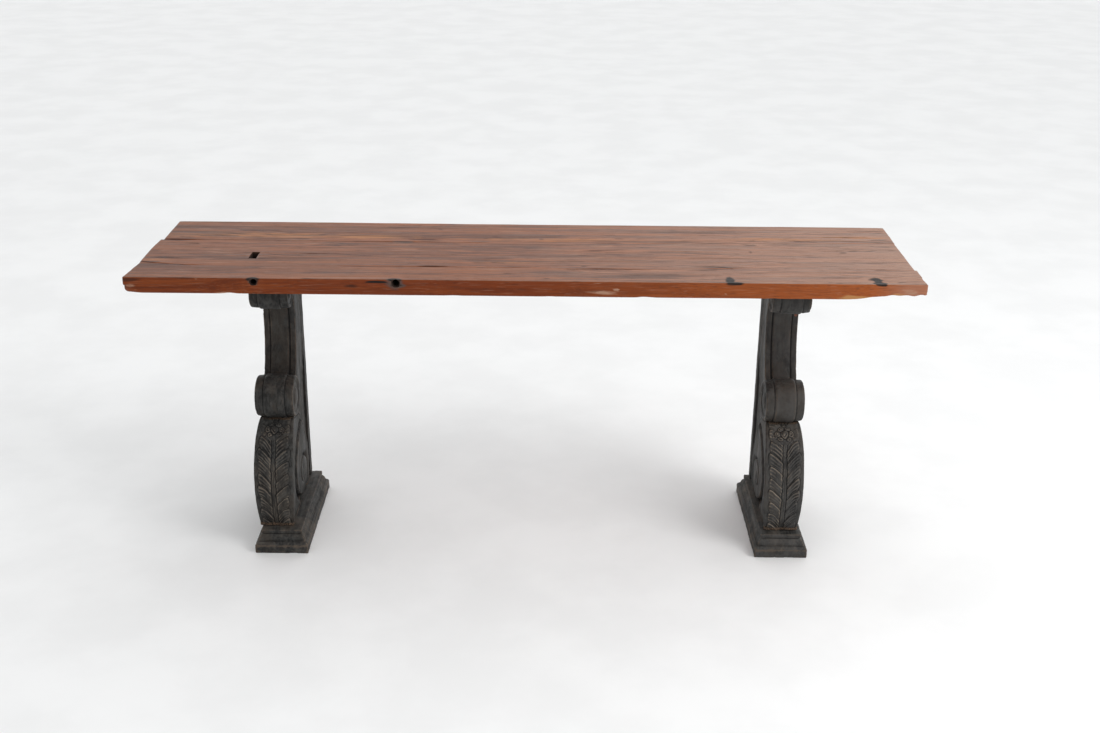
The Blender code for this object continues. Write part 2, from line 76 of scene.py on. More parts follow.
def bump(x):
    """A smooth hump: 1 at 0, falling to 0 at -1 and 1."""
    return np.clip(1 - x * x, 0, 1) ** 2


def smooth_max(a, b, radius):
    """Larger of a and b, rounded off within the radius where they meet."""
    h = np.clip(0.5 + 0.5 * (a - b) / radius, 0, 1)
    return b * (1 - h) + a * h + radius * h * (1 - h) * 0.5


def smooth_min(a, b, radius):
    return -smooth_max(-a, -b, radius)


def cell_value(cells, seed):
    """A fixed pseudo-random value from -1 to 1 for each integer cell."""
    x, y, z = (cells[..., i].astype(np.uint32) for i in range(3))
    h = x * np.uint32(73856093) ^ y * np.uint32(19349663) ^ z * np.uint32(83492791)
    h = h ^ np.uint32(seed * 2654435761 & 0xFFFFFFFF)
    for shift in (13, 11):
        h = (h ^ (h >> np.uint32(shift))) * np.uint32(0x5BD1E995)
    return (h ^ (h >> np.uint32(15))) / 2147483647.5 - 1


def noise(points, cell, seed):
    """Smooth noise from -1 to 1; cell is the length of one wave along each axis."""
    q = np.asarray(points) / np.asarray(cell)
    base = np.floor(q).astype(np.int64)
    t = q - base
    t = t * t * (3 - 2 * t)
    total = np.zeros(q.shape[:-1])
    for corner in np.ndindex(2, 2, 2):
        weight = np.prod(np.where(np.array(corner), t, 1 - t), axis=-1)
        total += weight * cell_value(base + np.array(corner), seed)
    return total


def waves(points, table, seed):
    """Sum of noise waves, each from 0 to twice its depth; the table holds (depth, cell) pairs."""
    return sum(depth * (1 + noise(points, cell, seed + i)) for i, (depth, cell) in enumerate(table))


def ripple(x, length, seed):
    """Noise from -1 to 1 that varies only along the table."""
    return noise(np.stack((x, 0 * x, 0 * x), 1), (length, 1, 1), seed)


def through(knots, x):
    """Smooth curve of y over x through (x, y) knots."""
    xs, ys = np.array(knots, float).T
    slopes = np.gradient(ys, xs)
    i = np.clip(np.searchsorted(xs, x) - 1, 0, len(xs) - 2)
    width = xs[i + 1] - xs[i]
    t = np.clip((x - xs[i]) / width, 0, 1)
    a, b = 2 * t ** 3 - 3 * t ** 2 + 1, t ** 3 - 2 * t ** 2 + t
    return a * ys[i] + b * width * slopes[i] + (1 - a) * ys[i + 1] + (t ** 3 - t ** 2) * width * slopes[i + 1]


def smooth_path(points, steps):
    """Points along a Catmull-Rom curve through the given points, ends included."""
    path = np.array(points, float)
    path = np.vstack((2 * path[0] - path[1], path, 2 * path[-1] - path[-2]))
    t = (np.arange(steps) / steps)[:, None]
    parts = []
    for a, b, c, d in zip(path, path[1:], path[2:], path[3:]):
        parts.append(0.5 * (2 * b + (c - a) * t + (2 * a - 5 * b + 4 * c - d) * t ** 2
                            + (3 * b - a - 3 * c + d) * t ** 3))
    return np.vstack((*parts, path[-2:-1]))


def arc(middle, radius, start, end, steps):
    angles = np.radians(np.linspace(start, end, steps))
    return np.stack((middle[0] + radius * np.cos(angles), middle[1] + radius * np.sin(angles)), 1)


def outline_distance(outline, y, z):
    """Signed distance of each (y, z) to a closed outline, negative inside."""
    best = np.full(y.shape, np.inf)
    inside = np.zeros(y.shape, bool)
    for (ay, az), (by, bz) in zip(outline, np.roll(outline, -1, axis=0)):
        ey, ez = by - ay, bz - az
        t = np.clip(((y - ay) * ey + (z - az) * ez) / (ey * ey + ez * ez + 1e-12), 0, 1)
        best = np.minimum(best, (y - ay - t * ey) ** 2 + (z - az - t * ez) ** 2)
        if az != bz:
            crosses = (z >= min(az, bz)) & (z < max(az, bz))
            inside ^= crosses & (y < ay + ey * (z - az) / ez)
    return np.where(inside, -1, 1) * np.sqrt(best)


def path_distance(path, y, z):
    """Signed distance of each (y, z) to an open path, and the share of the path's length there."""
    best = np.full(y.shape, np.inf)
    signed, share = np.zeros(y.shape), np.zeros(y.shape)
    lengths = np.hypot(*np.diff(path, axis=0).T)
    starts = np.concatenate(([0], np.cumsum(lengths)))
    for (ay, az), (by, bz), start, length in zip(path, path[1:], starts, lengths):
        ey, ez = by - ay, bz - az
        t = np.clip(((y - ay) * ey + (z - az) * ez) / (length * length), 0, 1)
        away = np.hypot(y - ay - t * ey, z - az - t * ez)
        nearer = away < best
        side = np.sign(ey * (z - az) - ez * (y - ay))
        best = np.where(nearer, away, best)
        signed = np.where(nearer, away * side, signed)
        share = np.where(nearer, (start + t * length) / starts[-1], share)
    return signed, share


# ---------------------------------------------------------------- meshes

def add_object(name, verts, faces, materials, smooth=True):
    mesh = bpy.data.meshes.new(name)
    mesh.from_pydata(np.asarray(verts).tolist(), [], [tuple(face) for face in faces])
    mesh.update()
    if smooth:
        mesh.shade_smooth()
    obj = bpy.data.objects.new(name, mesh)
    bpy.context.scene.collection.objects.link(obj)
    for material in materials:
        mesh.materials.append(material)
    return obj


def coordinates(obj):
    co = np.empty(len(obj.data.vertices) * 3)
    obj.data.vertices.foreach_get("co", co)
    return co.reshape(-1, 3)


def normals(obj):
    out = np.empty(len(obj.data.vertices) * 3, np.float32)
    obj.data.vertex_normals.foreach_get("vector", out)
    return out.reshape(-1, 3).astype(float)


def move_vertices(obj, co):
    obj.data.vertices.foreach_set("co", co.ravel())
    obj.data.update()


def roughen(obj, amount, cell, seed):
    """Push the surface in and out along its normals by a smooth random amount."""
    co = coordinates(obj)
    push = amount * noise(co, cell, seed)
    move_vertices(obj, co + normals(obj) * push[:, None])


def store(obj, name, values):
    old = obj.data.attributes.get(name)
    if old:
        obj.data.attributes.remove(old)
    attribute = obj.data.attributes.new(name, "FLOAT", "POINT")
    attribute.data.foreach_set("value", np.asarray(values, np.float32))


def stored(obj, name):
    values = np.empty(len(obj.data.vertices), np.float32)
    obj.data.attributes[name].data.foreach_get("value", values)
    return values


def store_relief(obj, steps, full):
    """Store how far each vertex stands proud (ridge) or lies sunk (hollow), from 0 to 1.

    full is the height above the smoothed surface, in metres, that counts as 1.
    """
    co, n = coordinates(obj), len(obj.data.vertices)
    edges = np.empty(len(obj.data.edges) * 2, np.int64)
    obj.data.edges.foreach_get("vertices", edges)
    a, b = edges.reshape(-1, 2).T
    degree = np.bincount(np.concatenate((a, b)), minlength=n)[:, None] + 1e-9
    smoothed = co.copy()
    for _ in range(steps):
        spread = [np.bincount(a, smoothed[b, i], n) + np.bincount(b, smoothed[a, i], n) for i in range(3)]
        smoothed = 0.4 * smoothed + 0.6 * np.stack(spread, 1) / degree
    proud = ((co - smoothed) * normals(obj)).sum(1) / full
    store(obj, "ridge", np.clip(proud, 0, 1))
    store(obj, "hollow", np.clip(-proud, 0, 1))


def surface_of(field, origin, step):
    """Vertices and quads of the zero level of a sampled field that is negative inside."""
    inside = field < 0
    cells = tuple(size - 1 for size in field.shape)
    count = np.zeros(np.prod(cells))
    total = np.zeros((3, len(count)))
    crossings = []
    for axis in range(3):
        first = [slice(None)] * 3
        second = [slice(None)] * 3
        first[axis], second[axis] = slice(None, -1), slice(1, None)
        a, b = field[tuple(first)], field[tuple(second)]
        found = np.argwhere(inside[tuple(first)] != inside[tuple(second)])
        picked = tuple(found.T)
        point = found.astype(float)
        point[:, axis] += a[picked] / (a[picked] - b[picked])
        left, right = (axis + 1) % 3, (axis + 2) % 3
        around = []
        for back_left, back_right in ((1, 1), (0, 1), (0, 0), (1, 0)):
            cell = found.copy()
            cell[:, left] -= back_left
            cell[:, right] -= back_right
            flat = np.ravel_multi_index(cell.T, cells, mode="clip")
            around.append(flat)
            count += np.bincount(flat, minlength=len(count))
            for i in range(3):
                total[i] += np.bincount(flat, point[:, i], len(count))
        quads = np.stack(around, 1)
        outward = inside[tuple(first)][picked]
        crossings.append(np.where(outward[:, None], quads, quads[:, ::-1]))
    used = np.flatnonzero(count)
    index = np.full(len(count), -1)
    index[used] = np.arange(len(used))
    verts = (total[:, used] / count[used]).T * step + np.array(origin)
    return verts, index[np.concatenate(crossings)]


def chip(obj, seed):
    """Knock back the proud edges here and there."""
    co = coordinates(obj)
    knock = smoothstep(0.15, 0.7, noise(co, 0.016, seed) + 0.5 * noise(co, 0.006, seed + 1))
    move_vertices(obj, co - normals(obj) * (1.5 * MM * stored(obj, "ridge") * knock)[:, None])


class Grid:
    """Sample points of one piece: a (y, z) plane, and the offsets across it."""

    def __init__(self, low, high, step):
        self.step = step
        self.low = np.array(low) - 2 * step
        counts = np.ceil((np.array(high) + 2 * step - self.low) / step).astype(int) + 1
        self.u, ys, zs = (self.low[i] + step * np.arange(counts[i]) for i in range(3))
        self.y, self.z = np.meshgrid(ys, zs, indexing="ij")
        self.u = self.u[:, None, None]

    def surface(self, field):
        return surface_of(np.broadcast_to(field, (len(self.u), *self.y.shape)), self.low, self.step)


def thinned(obj, share):
    """Collapse the mesh to a share of its faces, which leaves detail where the surface bends."""
    modifier = obj.modifiers.new("thin", "DECIMATE")
    modifier.ratio = share
    bake_modifiers(obj)


def bake_modifiers(obj):
    graph = bpy.context.evaluated_depsgraph_get()
    mesh = bpy.data.meshes.new_from_object(obj.evaluated_get(graph))
    obj.modifiers.clear()
    old = obj.data
    obj.data = mesh
    bpy.data.meshes.remove(old)


def lofted(loops):
    """Vertices and faces that skin a stack of closed loops, capped at both ends."""
    rows, count, _ = loops.shape
    index = np.arange(rows * count).reshape(rows, count)
    after = np.roll(index, -1, axis=1)
    quads = np.stack((index[:-1], after[:-1], after[1:], index[1:]), -1).reshape(-1, 4)
    return loops.reshape(-1, 3), [*quads.tolist(), index[0][::-1].tolist(), index[-1].tolist()]


# ---------------------------------------------------------------- materials

class Shader:
    """Short calls that build one node material around a Principled BSDF."""

    def __init__(self, name):
        self.material = bpy.data.materials.new(name)
        self.material.use_nodes = True
        self.tree = self.material.node_tree
        self.surface = self.tree.nodes["Principled BSDF"]
        self.place = self.tree.nodes.new("ShaderNodeTexCoord").outputs["Object"]

    def put(self, socket, value):
        if isinstance(value, bpy.types.NodeSocket):
            self.tree.links.new(value, socket)
        elif isinstance(value, (int, float)) and hasattr(socket.default_value, "__len__"):
            socket.default_value = [value] * 3 + [1.0] * (len(socket.default_value) - 3)
        elif isinstance(value, tuple) and len(socket.default_value) == 4:
            socket.default_value = (*value, 1.0)
        else:
            socket.default_value = value

    def math(self, operation, a, b=0.0, clamp=False):
        node = self.tree.nodes.new("ShaderNodeMath")
        node.operation = operation
        node.use_clamp = clamp
        self.put(node.inputs[0], a)
        self.put(node.inputs[1], b)
        return node.outputs[0]

    def times(self, a, b):
        return self.math("MULTIPLY", a, b)

    def centred(self, value):
        return self.math("SUBTRACT", value, 0.5)

    def vector(self, operation, a, b):
        node = self.tree.nodes.new("ShaderNodeVectorMath")
        node.operation = operation
        self.put(node.inputs[0], a)
        self.put(node.inputs[1], b)
        return node.outputs[0]

    def attribute(self, name):
        node = self.tree.nodes.new("ShaderNodeAttribute")
        node.attribute_name = name
        return node.outputs["Fac"]

    def noise(self, scale, detail=4.0, rough=0.55, bend=0.0, place=None, shift=0.0):
        """Noise from 0 to 1; scale is in waves per metre along each axis."""
        spot = self.vector("MULTIPLY", place or self.place, scale)
        if shift:
            spot = self.vector("ADD", spot, (shift, shift * 0.7, -shift))
        node = self.tree.nodes.new("ShaderNodeTexNoise")
        self.put(node.inputs["Vector"], spot)
        node.inputs["Scale"].default_value = 1.0
        node.inputs["Detail"].default_value = detail
        node.inputs["Roughness"].default_value = rough
        node.inputs["Distortion"].default_value = bend
        return node.outputs["Fac"]

    def cells(self, scale):
        """Distance from 0 up to the nearest of scattered points."""
        node = self.tree.nodes.new("ShaderNodeTexVoronoi")
        self.put(node.inputs["Vector"], self.vector("MULTIPLY", self.place, scale))
        node.inputs["Scale"].default_value = 1.0
        return node.outputs["Distance"]

    def span(self, value, low, high, start=0.0, end=1.0, smooth=True):
        """Map low..high of a value to start..end, held at both ends."""
        node = self.tree.nodes.new("ShaderNodeMapRange")
        node.interpolation_type = "SMOOTHSTEP" if smooth else "LINEAR"
        for socket, number in zip(node.inputs, (value, low, high, start, end)):
            self.put(socket, number)
        return node.outputs["Result"]

    def mix(self, share, a, b):
        node = self.tree.nodes.new("ShaderNodeMix")
        node.data_type = "RGBA"
        self.put(node.inputs["Factor"], share)
        self.put(node.inputs[6], a)
        self.put(node.inputs[7], b)
        return node.outputs[2]

    def coats(self, colour, rows):
        """Lay tints over a colour; rows of (value, low, high, strength, tint), full where value is high."""
        for value, low, high, strength, tint in rows:
            colour = self.mix(self.span(value, low, high, 0.0, strength), colour, tint)
        return colour

    def axis(self, name, source=None):
        node = self.tree.nodes.new("ShaderNodeSeparateXYZ")
        self.put(node.inputs[0], source or self.place)
        return node.outputs[name]

    def facing(self, name):
        return self.axis(name, self.tree.nodes.new("ShaderNodeNewGeometry").outputs["Normal"])

    def finish(self, colour, roughness, height, strength, depth, specular=0.5):
        node = self.tree.nodes.new("ShaderNodeBump")
        node.inputs["Strength"].default_value = strength
        node.inputs["Distance"].default_value = depth
        self.put(node.inputs["Height"], height)
        self.put(self.surface.inputs["Normal"], node.outputs["Normal"])
        self.put(self.surface.inputs["Base Color"], colour)
        self.put(self.surface.inputs["Roughness"], roughness)
        self.surface.inputs["Specular IOR Level"].default_value = specular
        return self.material


def grain_place(s):
    """Where a point lies in the grain, which wanders and starts elsewhere in each board."""
    wander = s.noise((1.7, 5.0, 5.0), detail=2.0)
    bend = s.times(s.centred(wander), 0.05)
    slide = s.tree.nodes.new("ShaderNodeCombineXYZ")
    board = s.attribute("board")
    s.put(slide.inputs[0], s.times(board, 3.7))
    s.put(slide.inputs[1], s.math("ADD", bend, s.times(board, 1.3)))
    s.put(slide.inputs[2], s.times(bend, 0.6))
    return s.vector("ADD", s.place, slide.outputs[0])


def sawn_tint(s, along, streak, band):
    """The warm colour of the sawn faces, with painted light that grows towards the right."""
    warm = s.mix(s.span(streak, 0.38, 0.62), (0.128, 0.024, 0.0050), (0.208, 0.046, 0.0095))
    warm = s.coats(warm, ((band, 0.40, 0.62, 0.75, (0.170, 0.032, 0.0070)),))
    # painted light: the sawn faces grow paler towards the right
    return s.mix(s.span(along, 0.0, 1.0, 0.0, 0.80, smooth=False), warm, (0.400, 0.105, 0.0260))


def worn_and_painted_light_tint(s, along, streak, band, broad):
    """The greyed colour of the top, with painted shade towards the left, painted light towards the right, and
    orange streaks.
    """
    grey = s.mix(s.span(streak, 0.40, 0.60), (0.070, 0.0225, 0.0115), (0.306, 0.123, 0.0670))
    grey = s.coats(grey, ((band, 0.46, 0.58, 0.60, (0.165, 0.072, 0.0440)),
                          (broad, 0.46, 0.60, 0.60, (0.280, 0.102, 0.0440))))
    # painted shade towards the left end, then painted light towards the right end
    grey = s.mix(s.span(along, -1.1, 0.2, 0.30, 0.0, smooth=False), grey, (0.130, 0.048, 0.0240))
    grey = s.mix(s.span(along, -0.1, 1.0, 0.0, 0.55, smooth=False), grey, (0.390, 0.250, 0.1850))
    light_streak = s.times(s.span(s.attribute("orange"), 0.1, 0.9), s.span(streak, 0.35, 0.58))
    return s.mix(light_streak, grey, (0.400, 0.165, 0.0600))


def surface_wear(s, colour, place, top):
    """Shadowed streaks, flecks and hairline splits, all on the top only."""
    shadowed = s.span(s.noise((2.2, 34, 34), detail=5, rough=0.6, place=place, shift=14.0), 0.54, 0.66)
    colour = s.mix(s.times(shadowed, s.times(top, 0.50)), colour, (0.040, 0.017, 0.0120))
    fleck = s.noise((7, 95, 95), detail=3, place=place, shift=21.0)
    colour = s.mix(s.times(s.span(fleck, 0.60, 0.70), s.times(top, 0.60)), colour, (0.060, 0.022, 0.0130))
    colour = s.mix(s.times(s.span(fleck, 0.40, 0.30), s.times(top, 0.30)), colour, (0.450, 0.260, 0.1700))
    winding = s.noise((2.4, 38, 38), detail=3, place=place, shift=33.0)
    split = s.math("ABSOLUTE", s.centred(winding))
    open_part = s.span(s.noise((5, 60, 60), detail=2, place=place, shift=40.0), 0.50, 0.58)
    hairline = s.times(s.span(split, 0.016, 0.005), s.times(open_part, top))
    return s.mix(s.times(hairline, 0.75), colour, (0.026, 0.011, 0.0075))


def end_grain(s, colour):
    end = s.span(s.math("ABSOLUTE", s.facing("X")), 0.55, 0.90)
    rings = s.noise((40, 90, 260), detail=4, bend=0.6, shift=2.5)
    return s.mix(s.times(end, 0.85), colour,
                 s.mix(s.span(rings, 0.40, 0.60), (0.030, 0.011, 0.0060), (0.095, 0.038, 0.0190)))


def marks_over(s, colour):
    """The stored stains and marks, with ragged edges."""
    ragged = s.noise((30, 160, 160), detail=4, shift=2.0)
    for name, tint, strength in (
        ("brown", (0.060, 0.017, 0.008), 0.90), ("slate", (0.075, 0.066, 0.062), 0.75),
        ("pale", (0.46, 0.29, 0.20), 0.70), ("sap", (0.46, 0.23, 0.085), 0.80),
        ("stain", (0.009, 0.009, 0.009), 0.97),
    ):
        edge = s.math("ADD", s.attribute(name), s.times(s.centred(ragged), 0.9))
        held = s.times(s.span(edge, 0.30, 0.75, 0.0, strength), s.span(s.attribute(name), 0.02, 0.12))
        colour = s.mix(held, colour, tint)
    return colour


def reclaimed_wood():
    """Old hardwood: greyed and worn on top, warm orange brown where it was sawn."""
    s = Shader("reclaimed_hardwood")
    place = grain_place(s)
    broad = s.noise((0.9, 22, 22), detail=3, place=place)
    band = s.noise((1.8, 60, 60), detail=4, rough=0.6, place=place, shift=9.0)
    streak = s.noise((3.2, 130, 130), detail=5, rough=0.65, place=place)
    fibre = s.noise((14, 620, 620), detail=3, rough=0.6, place=place)
    pores = s.noise((26, 900, 900), detail=1, place=place, shift=5.0)
    along = s.axis("X")
    top = s.span(s.facing("Z"), 0.35, 0.85)
    colour = s.mix(top, sawn_tint(s, along, streak, band), worn_and_painted_light_tint(s, along, streak, band, broad))
    pink = s.times(s.span(along, 0.86, 0.97), s.math("SUBTRACT", 1.0, top))
    colour = s.mix(s.times(pink, 0.55), colour, (0.36, 0.190, 0.130))
    colour = s.coats(colour, (
        (fibre, 0.54, 0.70, 0.50, (0.070, 0.028, 0.017)), (fibre, 0.45, 0.30, 0.25, (0.40, 0.24, 0.17)),
        (pores, 0.62, 0.74, 0.65, (0.040, 0.018, 0.012)),
    ))
    colour = marks_over(s, end_grain(s, surface_wear(s, colour, place, top)))
    colour = s.mix(s.times(s.attribute("ridge"), 0.22), colour, (0.36, 0.20, 0.13))
    # painted shade: the board's hollows darkened
    colour = s.mix(s.times(s.attribute("hollow"), 0.85), colour, (0.028, 0.012, 0.008))
    roughness = s.span(streak, 0.35, 0.65, 0.42, 0.58)
    height = s.math("ADD", s.times(streak, 0.6), s.times(fibre, 0.5))
    height = s.math("SUBTRACT", height, s.times(s.span(pores, 0.60, 0.74), 0.5))
    return s.finish(colour, roughness, height, 0.60, 0.0010, specular=0.14)


def split_wood():
    """Inside of a crack, bore or mortise: dark, dry and rough, with painted shade that deepens below the top.
    """
    s = Shader("split_wood")
    fibre = s.noise((30, 300, 300), detail=4)
    # painted shade: paler only just below the top, darker deeper in
    deep = s.span(s.axis("Z"), 0.800, 0.809)
    colour = s.mix(fibre, (0.008, 0.006, 0.006), (0.035, 0.018, 0.012))
    colour = s.mix(s.times(deep, 0.5), colour, (0.060, 0.026, 0.015))
    return s.finish(colour, 0.9, fibre, 0.5, 0.001, specular=0.2)


def ebonised_wood(name, grain, rubbed_tint, lift=1.0, bare=0.0):
    """Carved wood stained near black, rubbed along its arrises and dusty in places, with painted light on its
    front faces towards the right and painted shade in its hollows.

    grain is the waves per metre of its fibres, lift how far its stain has paled, and bare spreads
    the rubbed patches.
    """
    s = Shader(name)

    def tone(*colour):
        return tuple(lift * c for c in colour)

    fibre = s.noise(grain, detail=5, rough=0.6)
    coarse = s.noise(tuple(g * 0.22 for g in grain), detail=5, rough=0.6, shift=3.0)
    patch = s.noise((15, 15, 10), detail=5, rough=0.6, shift=7.0)
    blotch = s.noise((55, 55, 34), detail=4, rough=0.65, shift=4.0)
    speck = s.noise((420, 420, 300), detail=2, shift=1.0)
    pits = s.cells((240, 240, 120))
    ridge, hollow = s.attribute("ridge"), s.attribute("hollow")
    colour = s.mix(s.span(fibre, 0.36, 0.64), tone(0.0110, 0.0110, 0.0108), tone(0.036, 0.0355, 0.0335))
    colour = s.coats(colour, (
        (patch, 0.44, 0.60, 0.65, tone(0.044, 0.0365, 0.0295)),
        (blotch, 0.50, 0.64, 0.55, tone(0.056, 0.0550, 0.0515)),
        (coarse, 0.55, 0.68, 0.50, tone(0.072, 0.064, 0.056)),
        (blotch, 0.46, 0.34, 0.50, tone(0.0070, 0.0074, 0.0074)),
    ))
    # painted light: front faces paler, more so towards the right
    forward = s.span(s.times(s.facing("Y"), -1.0), 0.2, 0.9)
    front_painted_light = s.times(forward, s.span(s.axis("X"), -0.7, 0.7, 0.08, 0.42))
    front_painted_light = s.times(front_painted_light, s.span(coarse, 0.38, 0.62, 0.55, 1.45))
    colour = s.mix(front_painted_light, colour, (0.078, 0.074, 0.071))
    dust = s.times(s.span(s.facing("Z"), 0.0, 0.9), s.span(patch, 0.40, 0.62, 0.2, 1.0))
    colour = s.mix(s.times(dust, 0.22), colour, (0.090, 0.078, 0.066))
    rubbed = ridge
    for value, weight in ((patch, 1.6), (blotch, 1.6), (speck, 0.7)):
        rubbed = s.math("ADD", rubbed, s.times(s.centred(value), weight))
    proud = s.span(ridge, 0.05, 0.40)
    worn = s.times(s.span(rubbed, 0.40 - bare, 1.0 - bare), proud)
    colour = s.mix(s.times(worn, 0.85), colour, rubbed_tint)
    bright = tuple(min(1.9 * c, 1.0) for c in rubbed_tint)
    colour = s.mix(s.times(s.times(s.span(rubbed, 1.0 - bare, 1.5 - bare), proud), 0.7), colour, bright)
    # painted shade: the hollows darkened near black
    colour = s.mix(s.times(s.span(hollow, 0.1, 0.6), 0.80), colour, (0.0055, 0.0052, 0.0052))
    crumb = s.mix(s.span(speck, 0.40, 0.62), (0.028, 0.018, 0.012), (0.150, 0.096, 0.062))
    bare_wood = s.mix(s.span(fibre, 0.38, 0.62), (0.110, 0.030, 0.016), (0.280, 0.130, 0.090))
    colour = s.coats(colour, ((s.attribute("rust"), 0.25, 0.85, 0.80, crumb),
                              (s.attribute("knot"), 0.25, 0.6, 0.95, bare_wood)))
    roughness = s.math("ADD", s.span(coarse, 0.35, 0.65, 0.48, 0.68), s.times(hollow, 0.2), clamp=True)
    height = s.math("ADD", s.times(fibre, 0.7), s.times(s.span(pits, 0.0, 0.35), 0.25))
    height = s.math("ADD", height, s.times(blotch, 0.8))
    return s.finish(colour, roughness, height, 0.65, 0.0014, specular=0.13)


def plain_wood():
    s = Shader("plain_softwood")
    rings = s.noise((60, 60, 3), detail=3)
    fibre = s.noise((500, 500, 20), detail=3)
    colour = s.mix(s.span(rings, 0.35, 0.65), (0.20, 0.115, 0.060), (0.36, 0.230, 0.125))
    colour = s.coats(colour, ((fibre, 0.55, 0.75, 0.5, (0.12, 0.065, 0.035)),))
    return s.finish(colour, s.span(fibre, 0.3, 0.7, 0.6, 0.8), fibre, 0.4, 0.0006, specular=0.3)


def dark_bearer_wood():
    """The cleats: the same softwood, brushed with black stain."""
    s = Shader("stained_softwood")
    fibre = s.noise((40, 6, 300), detail=4)
    patch = s.noise((9, 9, 9), detail=3)
    colour = s.mix(s.span(fibre, 0.3, 0.7), (0.016, 0.014, 0.013), (0.045, 0.034, 0.026))
    colour = s.coats(colour, ((patch, 0.5, 0.75, 0.5, (0.090, 0.055, 0.032)),))
    return s.finish(colour, s.span(patch, 0.3, 0.7, 0.6, 0.75), fibre, 0.5, 0.0008, specular=0.3)


def dark_steel():
    s = Shader("dark_steel")
    brushed = s.noise((900, 900, 900), detail=2)
    rust = s.noise((160, 160, 160), detail=4)
    colour = s.mix(brushed, (0.15, 0.145, 0.14), (0.26, 0.25, 0.24))
    colour = s.coats(colour, ((rust, 0.5, 0.7, 0.7, (0.12, 0.045, 0.018)),))
    s.surface.inputs["Metallic"].default_value = 0.9
    return s.finish(colour, s.span(rust, 0.35, 0.65, 0.35, 0.7), brushed, 0.3, 0.0002)


# ---------------------------------------------------------------- top boards

TABLE_TOP = CAD_BOX[1].z
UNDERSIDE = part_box("top_board_rear")[0].z
FRONT = CAD_BOX[0].y
REAR = CAD_BOX[1].y
LEFT = CAD_BOX[0].x
RIGHT = CAD_BOX[1].x
ROW = 2.0 * MM  # spacing of the vertices across the boards
STATION = 7.0 * MM  # and along them

# Where the seams run, as (x, y)
FRONT_SEAM = ((-1.0, -0.124), (-0.95, -0.130), (-0.90, -0.141), (-0.80, -0.145), (-0.3, -0.141),
              (0.1, -0.144), (0.35, -0.145), (0.52, -0.134), (0.86, -0.129), (1.0, -0.134))
REAR_SEAM = ((-1.0, 0.077), (-0.7, 0.074), (-0.3, 0.073), (0.2, 0.072), (0.5, 0.084), (0.75, 0.092),
             (1.0, 0.098))
# Where the seams gape: middle, half length, half width
FRONT_GAPS = ((-0.960, 0.070, 2.0 * MM), (-0.865, 0.045, 1.4 * MM), (-0.243, 0.060, 1.4 * MM),
              (-0.020, 0.100, 1.0 * MM), (0.215, 0.090, 1.5 * MM), (0.500, 0.060, 1.6 * MM),
              (0.826, 0.050, 1.1 * MM), (0.920, 0.050, 1.2 * MM))
REAR_GAPS = ((-0.950, 0.080, 2.3 * MM), (-0.800, 0.090, 1.0 * MM), (-0.630, 0.170, 0.9 * MM),
             (-0.330, 0.070, 1.2 * MM), (-0.140, 0.060, 1.0 * MM), (0.340, 0.110, 1.3 * MM),
             (0.495, 0.070, 1.1 * MM), (0.900, 0.080, 0.8 * MM))
TIGHT = 0.12 * MM

# Cracks: points along (x, y), then full width and depth
CRACKS = (
    (((-0.690, -0.036), (-0.655, -0.056), (-0.604, -0.057), (-0.560, -0.050)), 1.4 * MM, 9 * MM),
    (((-0.605, -0.044), (-0.545, -0.040), (-0.470, -0.036)), 1.6 * MM, 8 * MM),
    (((-0.752, -0.061), (-0.727, -0.062)), 1.5 * MM, 8 * MM),
    (((-0.282, -0.1385), (-0.240, -0.1370), (-0.200, -0.1380)), 2.2 * MM, 7 * MM),
    (((-0.172, -0.080), (-0.140, -0.083), (-0.095, -0.084)), 1.2 * MM, 5 * MM),
    (((-0.225, -0.042), (-0.190, -0.039), (-0.148, -0.035)), 1.1 * MM, 5 * MM),
    (((0.092, -0.155), (0.165, -0.153), (0.255, -0.1495), (0.330, -0.150)), 1.8 * MM, 9 * MM),
    (((0.436, -0.121), (0.487, -0.123), (0.536, -0.133)), 2.6 * MM, 10 * MM),
    (((0.262, 0.0735), (0.340, 0.0770), (0.415, 0.0790)), 1.2 * MM, 7 * MM),
    (((0.125, -0.034), (0.168, -0.031)), 1.2 * MM, 5 * MM),
    (((0.142, 0.001), (0.215, 0.009)), 1.3 * MM, 5 * MM),
    (((0.715, 0.117), (0.750, 0.110), (0.790, 0.101)), 1.6 * MM, 6 * MM),
    (((0.930, 0.125), (0.965, 0.131), (0.990, 0.134)), 2.2 * MM, 8 * MM),
    (((0.932, 0.106), (0.970, 0.104)), 1.6 * MM, 6 * MM),
    (((0.948, -0.141), (0.984, -0.138)), 1.4 * MM, 6 * MM),
    (((-0.993, -0.120), (-0.952, -0.126)), 1.8 * MM, 5 * MM),
    (((-0.973, -0.093), (-0.935, -0.089), (-0.892, -0.089)), 1.6 * MM, 5 * MM),
    (((-0.922, 0.044), (-0.878, 0.040)), 1.6 * MM, 5 * MM),
    (((-0.790, 0.163), (-0.742, 0.161)), 1.0 * MM, 4 * MM),
    (((-0.852, 0.117), (-0.816, 0.122)), 1.2 * MM, 4 * MM),
)
